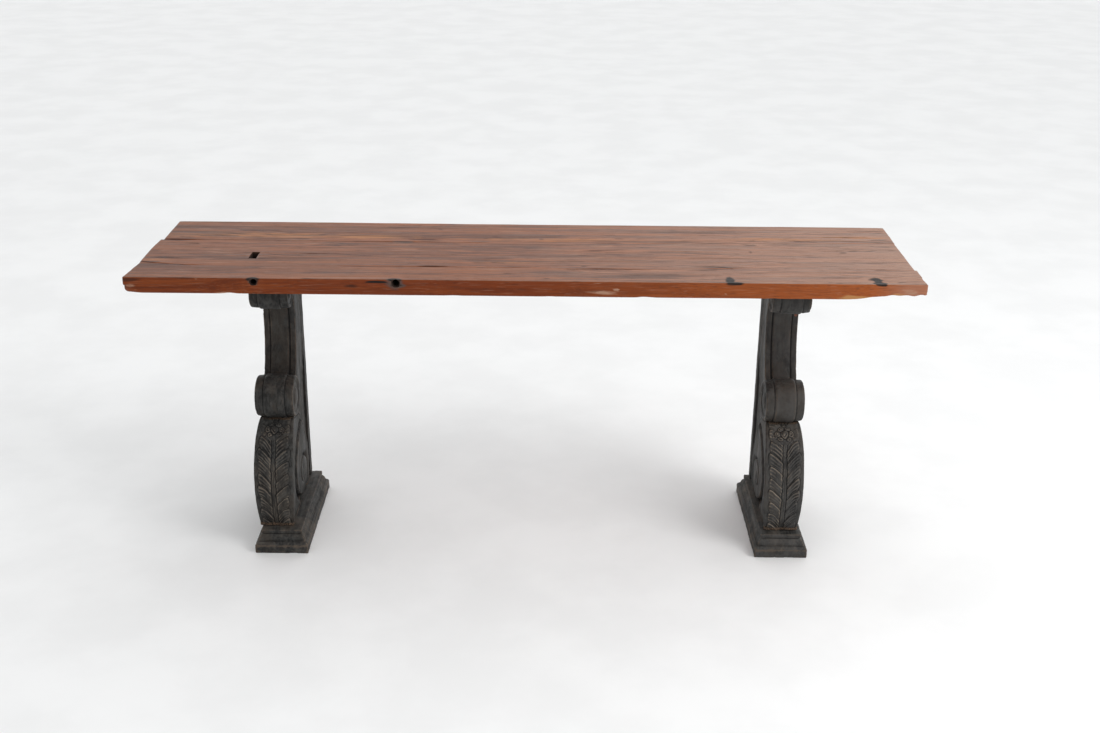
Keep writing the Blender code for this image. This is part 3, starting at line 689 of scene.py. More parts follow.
# Soft marks on the top: middle x and y, half length, half width, strength
MARKS = {
    "brown": (
        (-0.930, -0.140, 0.100, 0.0055, 1.0), (-0.865, -0.147, 0.050, 0.0050, 1.0),
        (-0.972, -0.121, 0.040, 0.0060, 0.9), (-0.935, -0.090, 0.055, 0.0050, 0.8),
        (-0.950, 0.073, 0.060, 0.0080, 1.0), (-0.900, 0.042, 0.036, 0.0060, 0.9),
        (-0.820, 0.047, 0.050, 0.0045, 0.7), (-0.616, 0.092, 0.034, 0.0080, 1.0),
        (-0.834, 0.119, 0.032, 0.0050, 0.7), (-0.766, 0.162, 0.040, 0.0040, 0.6),
        (-0.545, -0.040, 0.090, 0.0050, 0.9), (-0.284, 0.094, 0.060, 0.0075, 1.0),
        (-0.560, 0.131, 0.022, 0.0060, 0.9), (-0.085, 0.124, 0.018, 0.0070, 0.9),
        (-0.345, -0.021, 0.045, 0.0040, 0.6), (-0.243, -0.141, 0.050, 0.0045, 0.9),
        (-0.133, -0.082, 0.050, 0.0042, 0.8), (-0.028, -0.138, 0.085, 0.0040, 0.7),
        (0.170, -0.152, 0.120, 0.0045, 0.7), (0.180, 0.006, 0.055, 0.0070, 0.7),
        (0.147, -0.033, 0.035, 0.0050, 0.6), (0.250, 0.119, 0.022, 0.0055, 0.9),
        (0.037, 0.109, 0.010, 0.0060, 0.9), (0.842, 0.010, 0.014, 0.0055, 1.0),
        (0.748, -0.029, 0.030, 0.0060, 0.7), (0.750, 0.108, 0.050, 0.0060, 0.7),
        (0.594, 0.004, 0.006, 0.0160, 0.6), (0.880, -0.130, 0.110, 0.0035, 0.6),
        (-0.860, -0.2475, 0.150, 0.0030, 0.8),
    ),
    "slate": (
        (-0.332, 0.072, 0.040, 0.0080, 1.0), (-0.640, 0.073, 0.110, 0.0030, 0.7),
        (-0.140, 0.083, 0.055, 0.0040, 0.8), (-0.184, -0.040, 0.060, 0.0040, 0.6),
        (0.487, -0.124, 0.062, 0.0050, 0.9), (0.210, -0.147, 0.060, 0.0040, 0.8),
        (0.500, 0.086, 0.060, 0.0035, 0.7), (0.960, 0.129, 0.040, 0.0050, 0.8),
        (0.952, 0.105, 0.035, 0.0050, 0.7), (-0.402, -0.016, 0.005, 0.0120, 0.7),
        (-0.245, -0.173, 0.045, 0.0040, 0.4), (0.700, -0.155, 0.300, 0.0100, 0.25),
        (-0.300, -0.200, 0.600, 0.0250, 0.30), (0.930, -0.190, 0.080, 0.0300, 0.30),
    ),
    "orange": (
        (-0.720, 0.120, 0.280, 0.0300, 1.0), (-0.430, 0.115, 0.150, 0.0240, 0.9),
        (0.050, 0.105, 0.250, 0.0180, 0.7), (0.700, 0.124, 0.180, 0.0150, 0.9),
        (0.900, 0.148, 0.120, 0.0120, 0.8), (-0.050, -0.100, 0.120, 0.0100, 0.5),
        (-0.960, -0.105, 0.050, 0.0120, 0.6), (0.270, -0.080, 0.100, 0.0140, 0.4),
    ),
    "stain": (
        (-0.712, -0.061, 0.018, 0.029, 0.30), (-0.681, -0.250, 0.018, 0.017, 1.2),
        (-0.325, -0.250, 0.018, 0.011, 1.2), (0.512, -0.229, 0.013, 0.045, 1.05),
        (0.528, -0.250, 0.024, 0.012, 1.0), (0.883, -0.229, 0.014, 0.044, 1.05),
        (0.869, -0.212, 0.013, 0.009, 0.7), (0.893, -0.246, 0.016, 0.016, 1.0),
    ),
}
# Marks on the front edge: middle x and z, half length, half height, strength
EDGE_MARKS = {
    "stain": (
        (-0.679, 0.801, 0.017, 0.014, 1.1), (-0.326, 0.800, 0.017, 0.016, 1.1),
        (-0.366, 0.8028, 0.029, 0.0026, 1.3), (-0.436, 0.793, 0.012, 0.0025, 0.7),
        (0.526, 0.807, 0.024, 0.0055, 1.0), (0.894, 0.807, 0.016, 0.0060, 1.0),
    ),
    "slate": (
        (-0.326, 0.800, 0.024, 0.020, 1.3),
    ),
    "brown": (
        (-0.436, 0.792, 0.026, 0.006, 0.9), (-0.990, 0.803, 0.030, 0.006, 0.9),
        (-0.100, 0.774, 0.300, 0.006, 0.35),
    ),
    "pale": (
        (0.195, 0.780, 0.050, 0.007, 0.8), (0.228, 0.789, 0.012, 0.006, 0.9),
        (0.180, 0.804, 0.022, 0.003, 0.6), (-0.748, 0.771, 0.045, 0.004, 0.8),
        (-0.820, 0.806, 0.010, 0.003, 0.6), (0.500, 0.780, 0.004, 0.003, 0.8),
        (0.965, 0.790, 0.040, 0.012, 0.6), (-0.985, 0.787, 0.018, 0.010, 0.45),
        (0.300, 0.769, 0.028, 0.002, 0.8),
    ),
    "sap": (
        (0.840, 0.772, 0.080, 0.008, 1.2), (0.930, 0.779, 0.060, 0.006, 0.7),
    ),
}
MARK_NAMES = ("brown", "slate", "pale", "sap", "stain", "orange")
SMALL_BORE = (-0.679, 0.799, 7.0 * MM)  # x, z, radius
LARGE_BORE = (-0.324, 0.7995, 8.4 * MM)
BORE_SIDES = 28
# Down each bore, as (mm behind the front edge, share of the radius)
BORE_RINGS = ((-8, 1.62), (-0.5, 1.50), (1.4, 1.22), (4.5, 1.02), (30, 0.96), (55, 0.9))
MORTISE = (-0.7125, -0.0615)  # x, y
MORTISE_HALF = (9.6 * MM, 26.2 * MM)
# Up the mortise, as (mm above the top, share of its size)
MORTISE_LEVELS = ((-33, 0.97), (-8, 0.99), (-2.5, 1.02), (3, 1.16))
MORTISE_CORNERS = ((1, -1), (1, -0.3), (0.97, 0.2), (1.03, 1), (-0.95, 1.02), (-1, 0.4), (-1.05, -0.2),
                   (-0.98, -1))


def gape(gaps, x):
    """Half width of a seam along its length."""
    width = np.full(np.shape(x), TIGHT)
    for middle, half_length, half_width in gaps:
        width = np.maximum(width, half_width * bump((x - middle) / half_length) ** 0.6)
    return width


def lattice_box(ni, nj, nk):
    """The surface points (i, j, k) of a box lattice, and its outward quads."""
    index = np.full((ni, nj, nk), -1)
    shell = np.ones((ni, nj, nk), bool)
    shell[1:-1, 1:-1, 1:-1] = False
    index[shell] = np.arange(shell.sum())
    quads = []
    for axis, size in enumerate((ni, nj, nk)):
        for side in (0, size - 1):
            sheet = np.take(index, side, axis)
            sheet = sheet if axis != 1 else sheet.T
            quad = np.stack((sheet[:-1, :-1], sheet[1:, :-1], sheet[1:, 1:], sheet[:-1, 1:]), -1)
            quad = quad.reshape(-1, 4)
            quads.append(quad if side else quad[:, ::-1])
    return np.argwhere(shell), np.concatenate(quads)


def spaced(length, step, edge):
    """Shares from 0 to 1, evenly spaced but for a few closer ones by each end."""
    near = np.array([0.0, 0.25, 0.6, 1.1]) * edge
    middle = np.linspace(1.8 * edge, length - 1.8 * edge, max(int(length / step), 2))
    return np.concatenate((near, middle, length - near[::-1])) / length


def rounded(offsets, radii):
    """Shift towards the inside that rounds a box's edges, from each point's distance to its sides."""
    reach = np.maximum(radii[:, None] - offsets, 0)
    length = np.linalg.norm(reach, axis=1)
    share = np.where(length > radii, 1 - radii / np.maximum(length, 1e-9), 0)
    return reach * share[:, None]


def board_surface(front_line, rear_line, ends, radii_of, seed):
    """One board: vertices and quads. The lines give y over x; ends gives (left, right) over y."""
    edge = 3.0 * MM
    depth = float(np.mean(rear_line(np.linspace(LEFT, RIGHT, 9)) - front_line(np.linspace(LEFT, RIGHT, 9))))
    across = spaced(depth, ROW, edge)
    along = spaced(RIGHT - LEFT, STATION, 2 * edge)
    up = spaced(TABLE_TOP - UNDERSIDE, 3.5 * MM, edge)
    ijk, quads = lattice_box(len(along), len(across), len(up))
    s, t, h = along[ijk[:, 0]], across[ijk[:, 1]], up[ijk[:, 2]]
    flat_x = LEFT + s * (RIGHT - LEFT)
    low, high = front_line(flat_x), rear_line(flat_x)
    y = low + t * (high - low)
    left, right = ends(y)
    x = left + s * (right - left)
    z = UNDERSIDE + h * (TABLE_TOP - UNDERSIDE)
    sides = np.stack((np.minimum(s, 1 - s) * (right - left), np.minimum(t, 1 - t) * (high - low),
                      np.minimum(h, 1 - h) * (TABLE_TOP - UNDERSIDE)), 1)
    inward = np.stack((np.where(s < 0.5, 1, -1), np.where(t < 0.5, 1, -1), np.where(h < 0.5, 1, -1)), 1)
    flat = np.stack((x, y, z), 1)
    co = flat + inward * rounded(sides, radii_of(x, t, h, s, seed))
    return co, quads, s, t, h


# Wear as (depth, cell of the noise): of the top, the underside, the front face and the ends
TOP_WEAR = ((0.55 * MM, (0.35, 0.07, 1)), (0.28 * MM, (0.22, 0.011, 1)), (0.16 * MM, (0.09, 0.005, 1)))
UNDER_WEAR = ((0.25 * MM, (0.12, 0.05, 1)),)
FACE_WEAR = ((0.35 * MM, (0.16, 1, 0.02)), (0.12 * MM, (0.05, 1, 0.004)))
END_WEAR = ((0.4 * MM, (1, 0.012, 0.006)), (0.3 * MM, (1, 0.05, 0.03)))


def weathered(co, t, h, s, seed, front_face):
    """Wear the board: hollows and raised grain on top, a gently uneven sawn edge, ragged ends."""
    x, y, z = co.T
    plan = np.stack((x, y, 0 * z), 1)
    worn = waves(plan, TOP_WEAR, seed)
    low = waves(plan, UNDER_WEAR, seed + 3)
    top, bottom = smoothstep(0.90, 0.97, h), smoothstep(0.10, 0.03, h)
    z = z - worn * top + low * bottom
    if front_face:
        face = np.stack((x, 0 * y, z), 1)
        y = y + waves(face, FACE_WEAR, seed + 4) * smoothstep(0.02, 0.0, t)
    chew = waves(np.stack((0 * x, y, z), 1), END_WEAR, seed + 6)
    near_left, near_right = smoothstep(0.0035, 0.0, s), smoothstep(0.9965, 1.0, s)
    x = x + chew * near_left - 0.6 * chew * near_right
    return np.stack((x, y, z), 1)


def front_radii(x, t, h, s, seed):
    """How far the front board's edges are rounded. All three boards' functions take the same values."""
    wave = ripple(x, 0.05, seed + 20)
    long_wave = ripple(x, 0.3, seed + 21)
    arris = (1.3 + 0.7 * wave + 0.5 * long_wave) * MM
    lower = (1.8 + 0.5 * wave) * MM
    seam = 0.3 * MM + 1.2 * gape(FRONT_GAPS, x)
    radii = np.where(t < 0.5, np.where(h > 0.5, arris, lower), seam)
    at_left = smoothstep(LEFT + 0.05, LEFT + 0.005, x)
    at_right = smoothstep(RIGHT - 0.035, RIGHT - 0.005, x)
    radii = radii + at_left * np.where(h < 0.5, 10 * MM, 0.2 * MM) * (t < 0.5)
    radii = radii + at_right * np.where(h < 0.5, 5 * MM, 3.5 * MM) * (t < 0.5)
    return np.maximum(radii, 0.25 * MM)


def middle_radii(x, t, h, s, seed):
    gaps = np.where(t < 0.5, gape(FRONT_GAPS, x), gape(REAR_GAPS, x))
    ends = smoothstep(0.01, 0.0, np.minimum(s, 1 - s))
    return 0.3 * MM + 1.2 * gaps + 2.0 * MM * ends


def rear_radii(x, t, h, s, seed):
    wave = ripple(x, 0.06, seed + 20)
    ends = smoothstep(0.01, 0.0, np.minimum(s, 1 - s))
    seam = 0.3 * MM + 1.2 * gape(REAR_GAPS, x)
    return np.where(t < 0.5, seam, (1.8 + 0.8 * wave) * MM) + 2.0 * MM * ends


# Chips along the front board's lower edge: middle x, half length, height in mm
LOWER_CHIPS = ((-0.742, 0.026, 1.8), (0.300, 0.028, 1.8), (0.620, 0.022, 0.9), (-0.180, 0.026, 0.8),
               (0.060, 0.016, 1.0))


def ragged_underside(co, h):
    """Chips along the front board's lower edge and its split right-hand underside."""
    x, y, z = co.T
    low = smoothstep(0.45, 0.0, h)
    inner = smoothstep(FRONT + 0.060, FRONT, y)
    wave = noise(np.stack((x, y, 0 * x), 1), (0.018, 0.02, 1), 77)
    lift = 11 * MM * smoothstep(0.80, 0.925, x) * (1 + 0.25 * wave)
    for middle, half_length, height in LOWER_CHIPS:
        lift = lift + height * MM * bump((x - middle) / half_length) * (1 + 0.5 * wave)
    return np.stack((x, y, z + lift * low * inner), 1)


def crack_cutter(points, width, depth, seed):
    """Closed wedge that splits the surface along a wavering line, tapering to both ends."""
    path = smooth_path(points, 12)
    count = len(path)
    share = np.linspace(0, 1, count)
    waver = noise(np.stack((path[:, 0], path[:, 1], np.full(count, seed)), 1), (0.02, 0.02, 1), seed)
    taper = np.clip(np.sin(math.pi * share), 0, 1) ** 0.6
    half = 0.7 * width * (0.08 + 0.92 * taper) * (1 + 0.35 * waver)
    floor = TABLE_TOP - 0.4 * MM - depth * (0.1 + 0.9 * taper)
    middle_y = path[:, 1] + 1.0 * MM * waver
    top = np.full(count, TABLE_TOP + 3 * MM)
    lean = 0.5 * MM * np.sin(5 * share + seed)
    corners = ((half, top), (-half, top), (lean - 0.15 * half, floor), (lean + 0.15 * half, floor))
    loops = np.stack([np.stack((path[:, 0], middle_y + dy, dz), 1) for dy, dz in corners], 1)
    return lofted(loops)


def bore_cutter(x, z, radius, seed):
    """A slightly oval, dished bore into the front edge."""
    angles = np.linspace(0, TAU, BORE_SIDES, endpoint=False)
    loops = []
    for depth, swell in BORE_RINGS:
        ring = radius * swell * (1 + 0.05 * np.sin(2 * angles + seed) + 0.04 * np.sin(5 * angles))
        y = np.full(BORE_SIDES, FRONT + depth * MM)
        loops.append(np.stack((x + ring * np.cos(angles), y, z + ring * np.sin(angles)), 1))
    return lofted(np.array(loops)[::-1])


def mortise_cutter():
    """The old mortise: a slot with worn, slightly flared sides."""
    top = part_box("top_board_middle")[1].z
    loops = []
    for level, flare in MORTISE_LEVELS:
        wide, long = MORTISE_HALF[0] * flare, MORTISE_HALF[1] * (1 + (flare - 1) * 0.4)
        loops.append([(MORTISE[0] + wide * a, MORTISE[1] + long * b, top + level * MM)
                      for a, b in MORTISE_CORNERS])
    return lofted(np.array(loops))


def carve(board, cutters, inside_material):
    """Cut the closed shapes out of the board, with the inside in its own material."""
    verts, faces, start = [], [], 0
    for cutter_verts, cutter_faces in cutters:
        verts.append(cutter_verts)
        faces += [[i + start for i in face] for face in cutter_faces]
        start += len(cutter_verts)
    tool = add_object(board.name + "_tool", np.concatenate(verts), faces, [inside_material], smooth=False)
    mesh = bmesh.new()
    mesh.from_mesh(tool.data)
    bmesh.ops.recalc_face_normals(mesh, faces=mesh.faces)
    mesh.to_mesh(tool.data)
    mesh.free()
    board.data.materials.append(inside_material)
    modifier = board.modifiers.new("carve", "BOOLEAN")
    modifier.operation = "DIFFERENCE"
    modifier.solver = "MANIFOLD"
    modifier.object = tool
    modifier.material_mode = "TRANSFER"
    bake_modifiers(board)
    bpy.data.objects.remove(tool)


def store_marks(board):
    """Store the stains and marks over the board's vertices."""
    co = coordinates(board)
    x, y, z = co.T
    waver = 1 + 0.45 * noise(co, (0.03, 0.012, 0.012), 31)
    levels = {name: np.zeros(len(co)) for name in MARK_NAMES}
    on_top = smoothstep(TABLE_TOP - 12 * MM, TABLE_TOP - 2 * MM, z)
    on_edge = smoothstep(FRONT + 14 * MM, FRONT + 2 * MM, y)
    for marks, across, face in ((MARKS, y, on_top), (EDGE_MARKS, z, on_edge)):
        for name, rows in marks.items():
            for middle_x, middle, half_length, half_width, strength in rows:
                away = np.hypot((x - middle_x) / half_length, (across - middle) / half_width) * waver
                levels[name] = np.maximum(levels[name], strength * np.clip(1.25 - away, 0, 1) * face)
    for name, values in levels.items():
        store(board, name, values)


def cracks_between(low, high):
    """The cracks whose middle lies between two y values."""
    chosen = [c for c in CRACKS if low < np.mean([p[1] for p in c[0]]) < high]
    return [crack_cutter(*crack, seed) for seed, crack in enumerate(chosen)]


def make_boards():
    wood, inside = reclaimed_wood(), split_wood()
    front_low, front_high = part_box("top_board_front")
    middle_low, middle_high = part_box("top_board_middle")
    rear_low, rear_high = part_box("top_board_rear")

    def front_ends(y):
        slant = 11 * MM * np.clip((y - FRONT - 5 * MM) / 0.110, 0, 1)
        return front_low.x + slant, front_high.x - 2 * MM * smoothstep(-0.235, -0.20, y)

    def middle_ends(y):
        return middle_low.x - 2.5 * MM + 3 * MM * smoothstep(0.0, 0.08, y), middle_high.x - 2 * MM + 0 * y

    def rear_ends(y):
        return rear_low.x + 0 * y, rear_high.x - 2 * MM * smoothstep(0.2, 0.1, y)

    specs = (
        ("front", lambda x: np.full(np.shape(x), FRONT),
         lambda x: through(FRONT_SEAM, x) - gape(FRONT_GAPS, x), front_ends, front_radii, 100),
        ("middle", lambda x: through(FRONT_SEAM, x) + gape(FRONT_GAPS, x),
         lambda x: through(REAR_SEAM, x) - gape(REAR_GAPS, x), middle_ends, middle_radii, 200),
        ("rear", lambda x: through(REAR_SEAM, x) + gape(REAR_GAPS, x),
         lambda x: np.full(np.shape(x), REAR), rear_ends, rear_radii, 300),
    )
    for number, (name, low_line, high_line, ends, radii, seed) in enumerate(specs):
        co, quads, s, t, h = board_surface(low_line, high_line, ends, radii, seed)
        co = weathered(co, t, h, s, seed, name == "front")
        if name == "front":
            co = ragged_underside(co, h)
        board = add_object(f"board_{name}", co, quads, [wood])
        low = -1.0 if name == "front" else float(low_line(0.0))
        cutters = cracks_between(low, 1.0 if name == "rear" else float(high_line(0.0)))
        if name == "front":
            cutters += [bore_cutter(*SMALL_BORE, 1), bore_cutter(*LARGE_BORE, 4)]
        if name == "middle":
            cutters.append(mortise_cutter())
        carve(board, cutters, inside)
        store_marks(board)
        store_relief(board, 6, 1.6 * MM)
        store(board, "board", np.full(len(board.data.vertices), float(number)))
        ride_for(board, "top_wood", f"top_board_{name}")


# ---------------------------------------------------------------- supports

BODY_HALF = 0.0435
ROLL_HALF = 0.052
BAND_HALF = 0.027

BELLY = ((-0.149, 0.0633), (-0.1605, 0.110), (-0.1640, 0.160), (-0.157, 0.215), (-0.141, 0.263),
         (-0.117, 0.304), (-0.080, 0.334), (-0.052, 0.3445))
VOLUTE_BACK = ((0.030, 0.326), (0.062, 0.294), (0.090, 0.247), (0.122, 0.198), (0.137, 0.150), (0.134, 0.105))
NECK_FRONT = ((0.012, 0.438), (0.030, 0.469), (0.045, 0.507), (0.055, 0.555), (0.058, 0.600),
              (0.052, 0.640), (0.036, 0.664))
NECK_BACK = ((0.020, 0.322), (0.085, 0.362), (0.125, 0.421), (0.143, 0.474), (0.1485, 0.530))
MID_ROLL = ((-0.0365, 0.4000), 0.0580)
TOP_ROLL = ((-0.0300, 0.7005), 0.0460)
EYE = (0.048, 0.128)
# The scroll's groove, as (angle in degrees, distance from the eye)
GROOVE = ((78, 0.162), (100, 0.146), (130, 0.128), (160, 0.117), (190, 0.098), (215, 0.080), (250, 0.067),
          (290, 0.061), (330, 0.058), (390, 0.053), (450, 0.046), (520, 0.036), (600, 0.027), (660, 0.021))


def spiral_path():
    knots = np.array(GROOVE)
    angles = np.linspace(knots[0, 0], knots[-1, 0], 90)
    radii = through(GROOVE, angles)
    turn = np.radians(angles)
    return np.stack((EYE[0] + radii * np.cos(turn), EYE[1] + radii * np.sin(turn)), 1)


def roll_end(y, z, middle, radius):
    """Depth of the carving on a roll's end: a sunk ring round a domed eye."""
    away = np.hypot(y - middle[0], z - middle[1]) / radius
    turn = np.arctan2(z - middle[1], y - middle[0]) / TAU
    coil = away - 0.10 * (turn % 1.0)
    sunk = 3.6 * MM * smoothstep(0.82, 0.66, coil) * smoothstep(0.26, 0.44, coil)
    return sunk + 1.2 * MM * bump((coil - 0.80) / 0.05) - 2.0 * MM * np.clip(1 - (away / 0.30) ** 2, 0, 1)


def lower_scroll_surface():
    grid = Grid((-0.047, -0.166, 0.062), (0.047, 0.140, 0.346), 1.9 * MM)
    y, z = grid.y, grid.z
    outline = np.vstack((smooth_path(BELLY, 6), smooth_path(VOLUTE_BACK, 6), ((0.128, 0.0633),)))
    shape = outline_distance(outline, y, z)
    across, share = path_distance(spiral_path(), y, z)
    width = np.interp(share, (0, 0.25, 0.6, 1), (26, 32, 19, 8)) * MM
    depth = np.interp(share, (0, 0.05, 0.3, 0.75, 1), (0, 10.0, 17.0, 12.0, 4.5)) * MM
    outer_wall = np.clip(1 - np.abs(across) / width, 0, 1) ** 1.6
    inner_wall = np.clip(1 - np.abs(across) / (0.28 * width), 0, 1) ** 0.8
    carved = depth * np.where(across < 0, outer_wall, inner_wall)
    away = np.hypot(y - EYE[0], z - EYE[1])
    carved = carved - 3.0 * MM * np.clip(1 - (away / 0.016) ** 2, 0, 1)
    carved = carved + 1.6 * MM * bump((shape + 8 * MM) / (2.2 * MM))
    sides = np.abs(grid.u) - (BODY_HALF - carved)
    return grid.surface(smooth_max(shape[None], sides, 3 * MM))


def roll_surface(roll, block, low, high, top_block_half):
    """A barrel with rounded ends and a raised middle band, joined to the block behind it."""
    middle, radius = roll
    grid = Grid((-0.054, low[0], low[1]), (0.054, high[0], high[1]), 1.7 * MM)
    y, z, u = grid.y, grid.z, np.abs(grid.u)
    disc = np.hypot(y - middle[0], z - middle[1]) - radius
    band = 2.4 * MM * smoothstep(BAND_HALF + 3.0 * MM, BAND_HALF - 3.0 * MM, u)
    crown = -2.2 * MM * smoothstep(BAND_HALF, ROLL_HALF, u)
    line = 1.2 * MM * bump((u - BAND_HALF - 3.0 * MM) / (3.2 * MM))
    barrel = disc[None] - band - crown + line
    barrel = smooth_max(barrel, u - (ROLL_HALF - roll_end(y, z, middle, radius)[None]), 9 * MM)
    behind = smooth_max(outline_distance(np.array(block), y, z)[None], u - top_block_half, 4 * MM)
    return grid.surface(smooth_min(barrel, behind, 3 * MM))


def mid_roll_surface():
    block = ((-0.056, 0.336), (0.030, 0.324), (0.030, 0.420), (-0.030, 0.430))
    return roll_surface(MID_ROLL, block, (-0.098, 0.326), (0.028, 0.464), BODY_HALF - 0.5 * MM)


def top_roll_surface():
    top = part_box("left_upper_scroll")[1].z
    block = ((-0.068, top), (-0.071, 0.707), (0.012, 0.694), (0.040, 0.690), (0.040, top))
    return roll_surface(TOP_ROLL, block, (-0.080, 0.650), (0.044, top + 1 * MM), ROLL_HALF - 1 * MM)


NECK_PANEL = (0.0225, 0.0255)  # half width of the raised panel at its top and its foot
NECK_GROOVE = (0.0272, 0.0026)  # how far out the groove beside it runs, and its half width


def neck_surface():
    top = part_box("left_upper_scroll")[1].z
    grid = Grid((-0.045, 0.004, 0.320), (0.045, 0.150, top), 1.9 * MM)
    y, z, u = grid.y, grid.z, np.abs(grid.u)
    outline = np.vstack((smooth_path(NECK_FRONT, 6), ((0.030, top), (0.1497, top), (0.1497, 0.56)),
                         smooth_path(NECK_BACK, 6)[::-1], ((0.010, 0.324),)))
    shape = outline_distance(outline, y, z)
    panel = 4.0 * MM * smoothstep(NECK_PANEL[1], NECK_PANEL[0], u) * (1 - 0.25 * (u / NECK_PANEL[0]) ** 2)
    groove = 2.4 * MM * bump((u - NECK_GROOVE[0]) / NECK_GROOVE[1])
    side_line = 1.5 * MM * bump((shape + 10 * MM) / (2.4 * MM))
    side_line = side_line + 0.8 * MM * smoothstep(-12 * MM, -16 * MM, shape)
    body = smooth_max(shape[None] - panel + groove, u - (BODY_HALF - side_line[None]), 3.5 * MM)
    return grid.surface(body)


WEB_HALF = 0.0375
WEB_OUTLINE = ((0.030, 0.314), (0.090, 0.227), (0.128, 0.178), (0.128, 0.064), (0.1497, 0.064),
               (0.1497, 0.530), (0.140, 0.500), (0.118, 0.430), (0.080, 0.370))


def web_surface():
    """The sunk panel behind the scrolls."""
    grid = Grid((-0.040, 0.018, 0.062), (0.040, 0.151, 0.532), 3.2 * MM)
    shape = outline_distance(np.array(WEB_OUTLINE), grid.y, grid.z)
    return grid.surface(smooth_max(shape[None], np.abs(grid.u) - WEB_HALF, 2 * MM))


LEAF_EDGE = 4.0 * MM
LEAF_BORDER = 10.5 * MM
LOBE_PITCH = 0.0335
TIP_BACK = 0.052  # from the leaf's upper end back to the middle of its tip


def leaf_half_width(share):
    return 0.0458 + 0.0077 * np.sin(math.pi * np.clip(share, 0, 1)) ** 0.8


# Curls at the leaf's tip, in mm: across, along from the tip, radius, height
CURLS = (
    (0.0, 0.0, 10.5, 5.2), (-17.5, 1.5, 8.5, 3.8), (18.0, 0.5, 8.5, 3.6), (-9.0, 14.5, 7.5, 3.0),
    (9.5, 14.0, 7.0, 3.1), (-27.5, -9.5, 7.5, 2.8), (28.0, -10.5, 7.0, 2.8), (-11.0, -13.0, 6.5, 2.6),
    (11.5, -13.5, 6.5, 2.6), (0.5, 22.5, 6.0, 2.0),
)


def curl_relief(u, along, tip, place, seed):
    """Height of the clump of curls round the leaf's tip."""
    curls = np.zeros(np.shape(u))
    swirl_u = u + 2.6 * MM * noise(place, (0.0075, 0.0075, 1), seed + 5)
    swirl_along = along + 2.6 * MM * noise(place, (0.0080, 0.0080, 1), seed + 6)
    for across, up, radius, rise in CURLS:
        dx, dy = swirl_u - across * MM, swirl_along - tip - up * MM
        away = np.hypot(dx, dy) / (radius * MM)
        dome = rise * MM * np.clip(1 - away ** 2, 0, 1) ** 0.55
        coil = 0.5 + 0.5 * np.cos(np.arctan2(dy, dx) + across + 2.5 * away)
        dimple = 1.9 * MM * bump((away - 0.45) / 0.26) * coil
        curls = np.maximum(curls, dome - dimple)
    return curls


def leaf_relief(along, u, length, seed):
    """Height of the carved leaf over its ground: ribs, overlapping lobes, and a curled tip."""
    place = np.stack((u, along, np.full(np.shape(u), seed * 0.1)), -1)
    wobble = noise(place, (0.020, 0.030, 1), seed)
    u = u + 1.3 * MM * wobble + 0.7 * MM * noise(place, (0.007, 0.009, 1), seed + 1)
    along = along + 2.2 * MM * noise(place, (0.016, 0.022, 1), seed + 2)
    share = along / length
    field = leaf_half_width(share) - LEAF_BORDER
    side = np.abs(u)
    rib_half = 6.0 * MM * (1.05 - 0.25 * share)
    q = np.clip((side - rib_half) / (field - rib_half), 0, 1.6)
    rise = (0.031 + 0.003 * np.sign(u)) * (1 - (1 - np.clip(q, 0, 1)) ** 1.7)
    phase = (along - rise + 2.0 * MM * wobble + np.where(u > 0, 0.004, 0.0)) / LOBE_PITCH
    lobe = phase % 1.0
    number = np.floor(phase)
    reach = 0.88 + 0.14 * np.sin(math.pi * lobe) ** 0.8 + 0.06 * np.sin(number * 2.3 + seed)
    inside = smoothstep(reach + 0.05, reach - 0.10, q)
    overlap = 3.2 * MM * (0.25 + 0.75 * smoothstep(0.02, 0.75, lobe)) * smoothstep(1.0, 0.93, lobe)
    overlap = overlap * (0.85 + 0.25 * np.sin(number * 4.1 + np.sign(u)))
    veins = 1.35 * MM * (0.5 + 0.5 * np.cos(TAU * 3.5 * lobe + 1.2 * wobble)) ** 1.5
    veins = veins * (0.35 + 0.65 * smoothstep(-0.45, 0.25, noise(place, (0.05, 0.06, 1), seed + 3)))
    lower = smoothstep(1.03, 0.75, share)
    height = inside * (0.6 * MM + overlap + veins * (0.50 + 0.50 * lower))
    height = height * (0.80 + 0.25 * wobble + 0.12 * lower)
    rib = 1.5 * MM * bump(u / (rib_half * 1.15)) ** 0.25
    rib = rib - 0.6 * MM * bump(u / (1.4 * MM)) - 0.5 * MM * bump((side - 4.0 * MM) / (0.9 * MM))
    gutter = 1.5 * MM * bump((side - rib_half * 1.18) / (1.8 * MM))
    height = np.where(side < rib_half * 1.1, np.maximum(rib, 0), height) - gutter
    tip = length - TIP_BACK
    near_tip = smoothstep(0.034, 0.022, np.hypot(u * 0.9, along - tip))
    return np.maximum(height * (1 - 0.9 * near_tip), curl_relief(u, along, tip, place, seed))


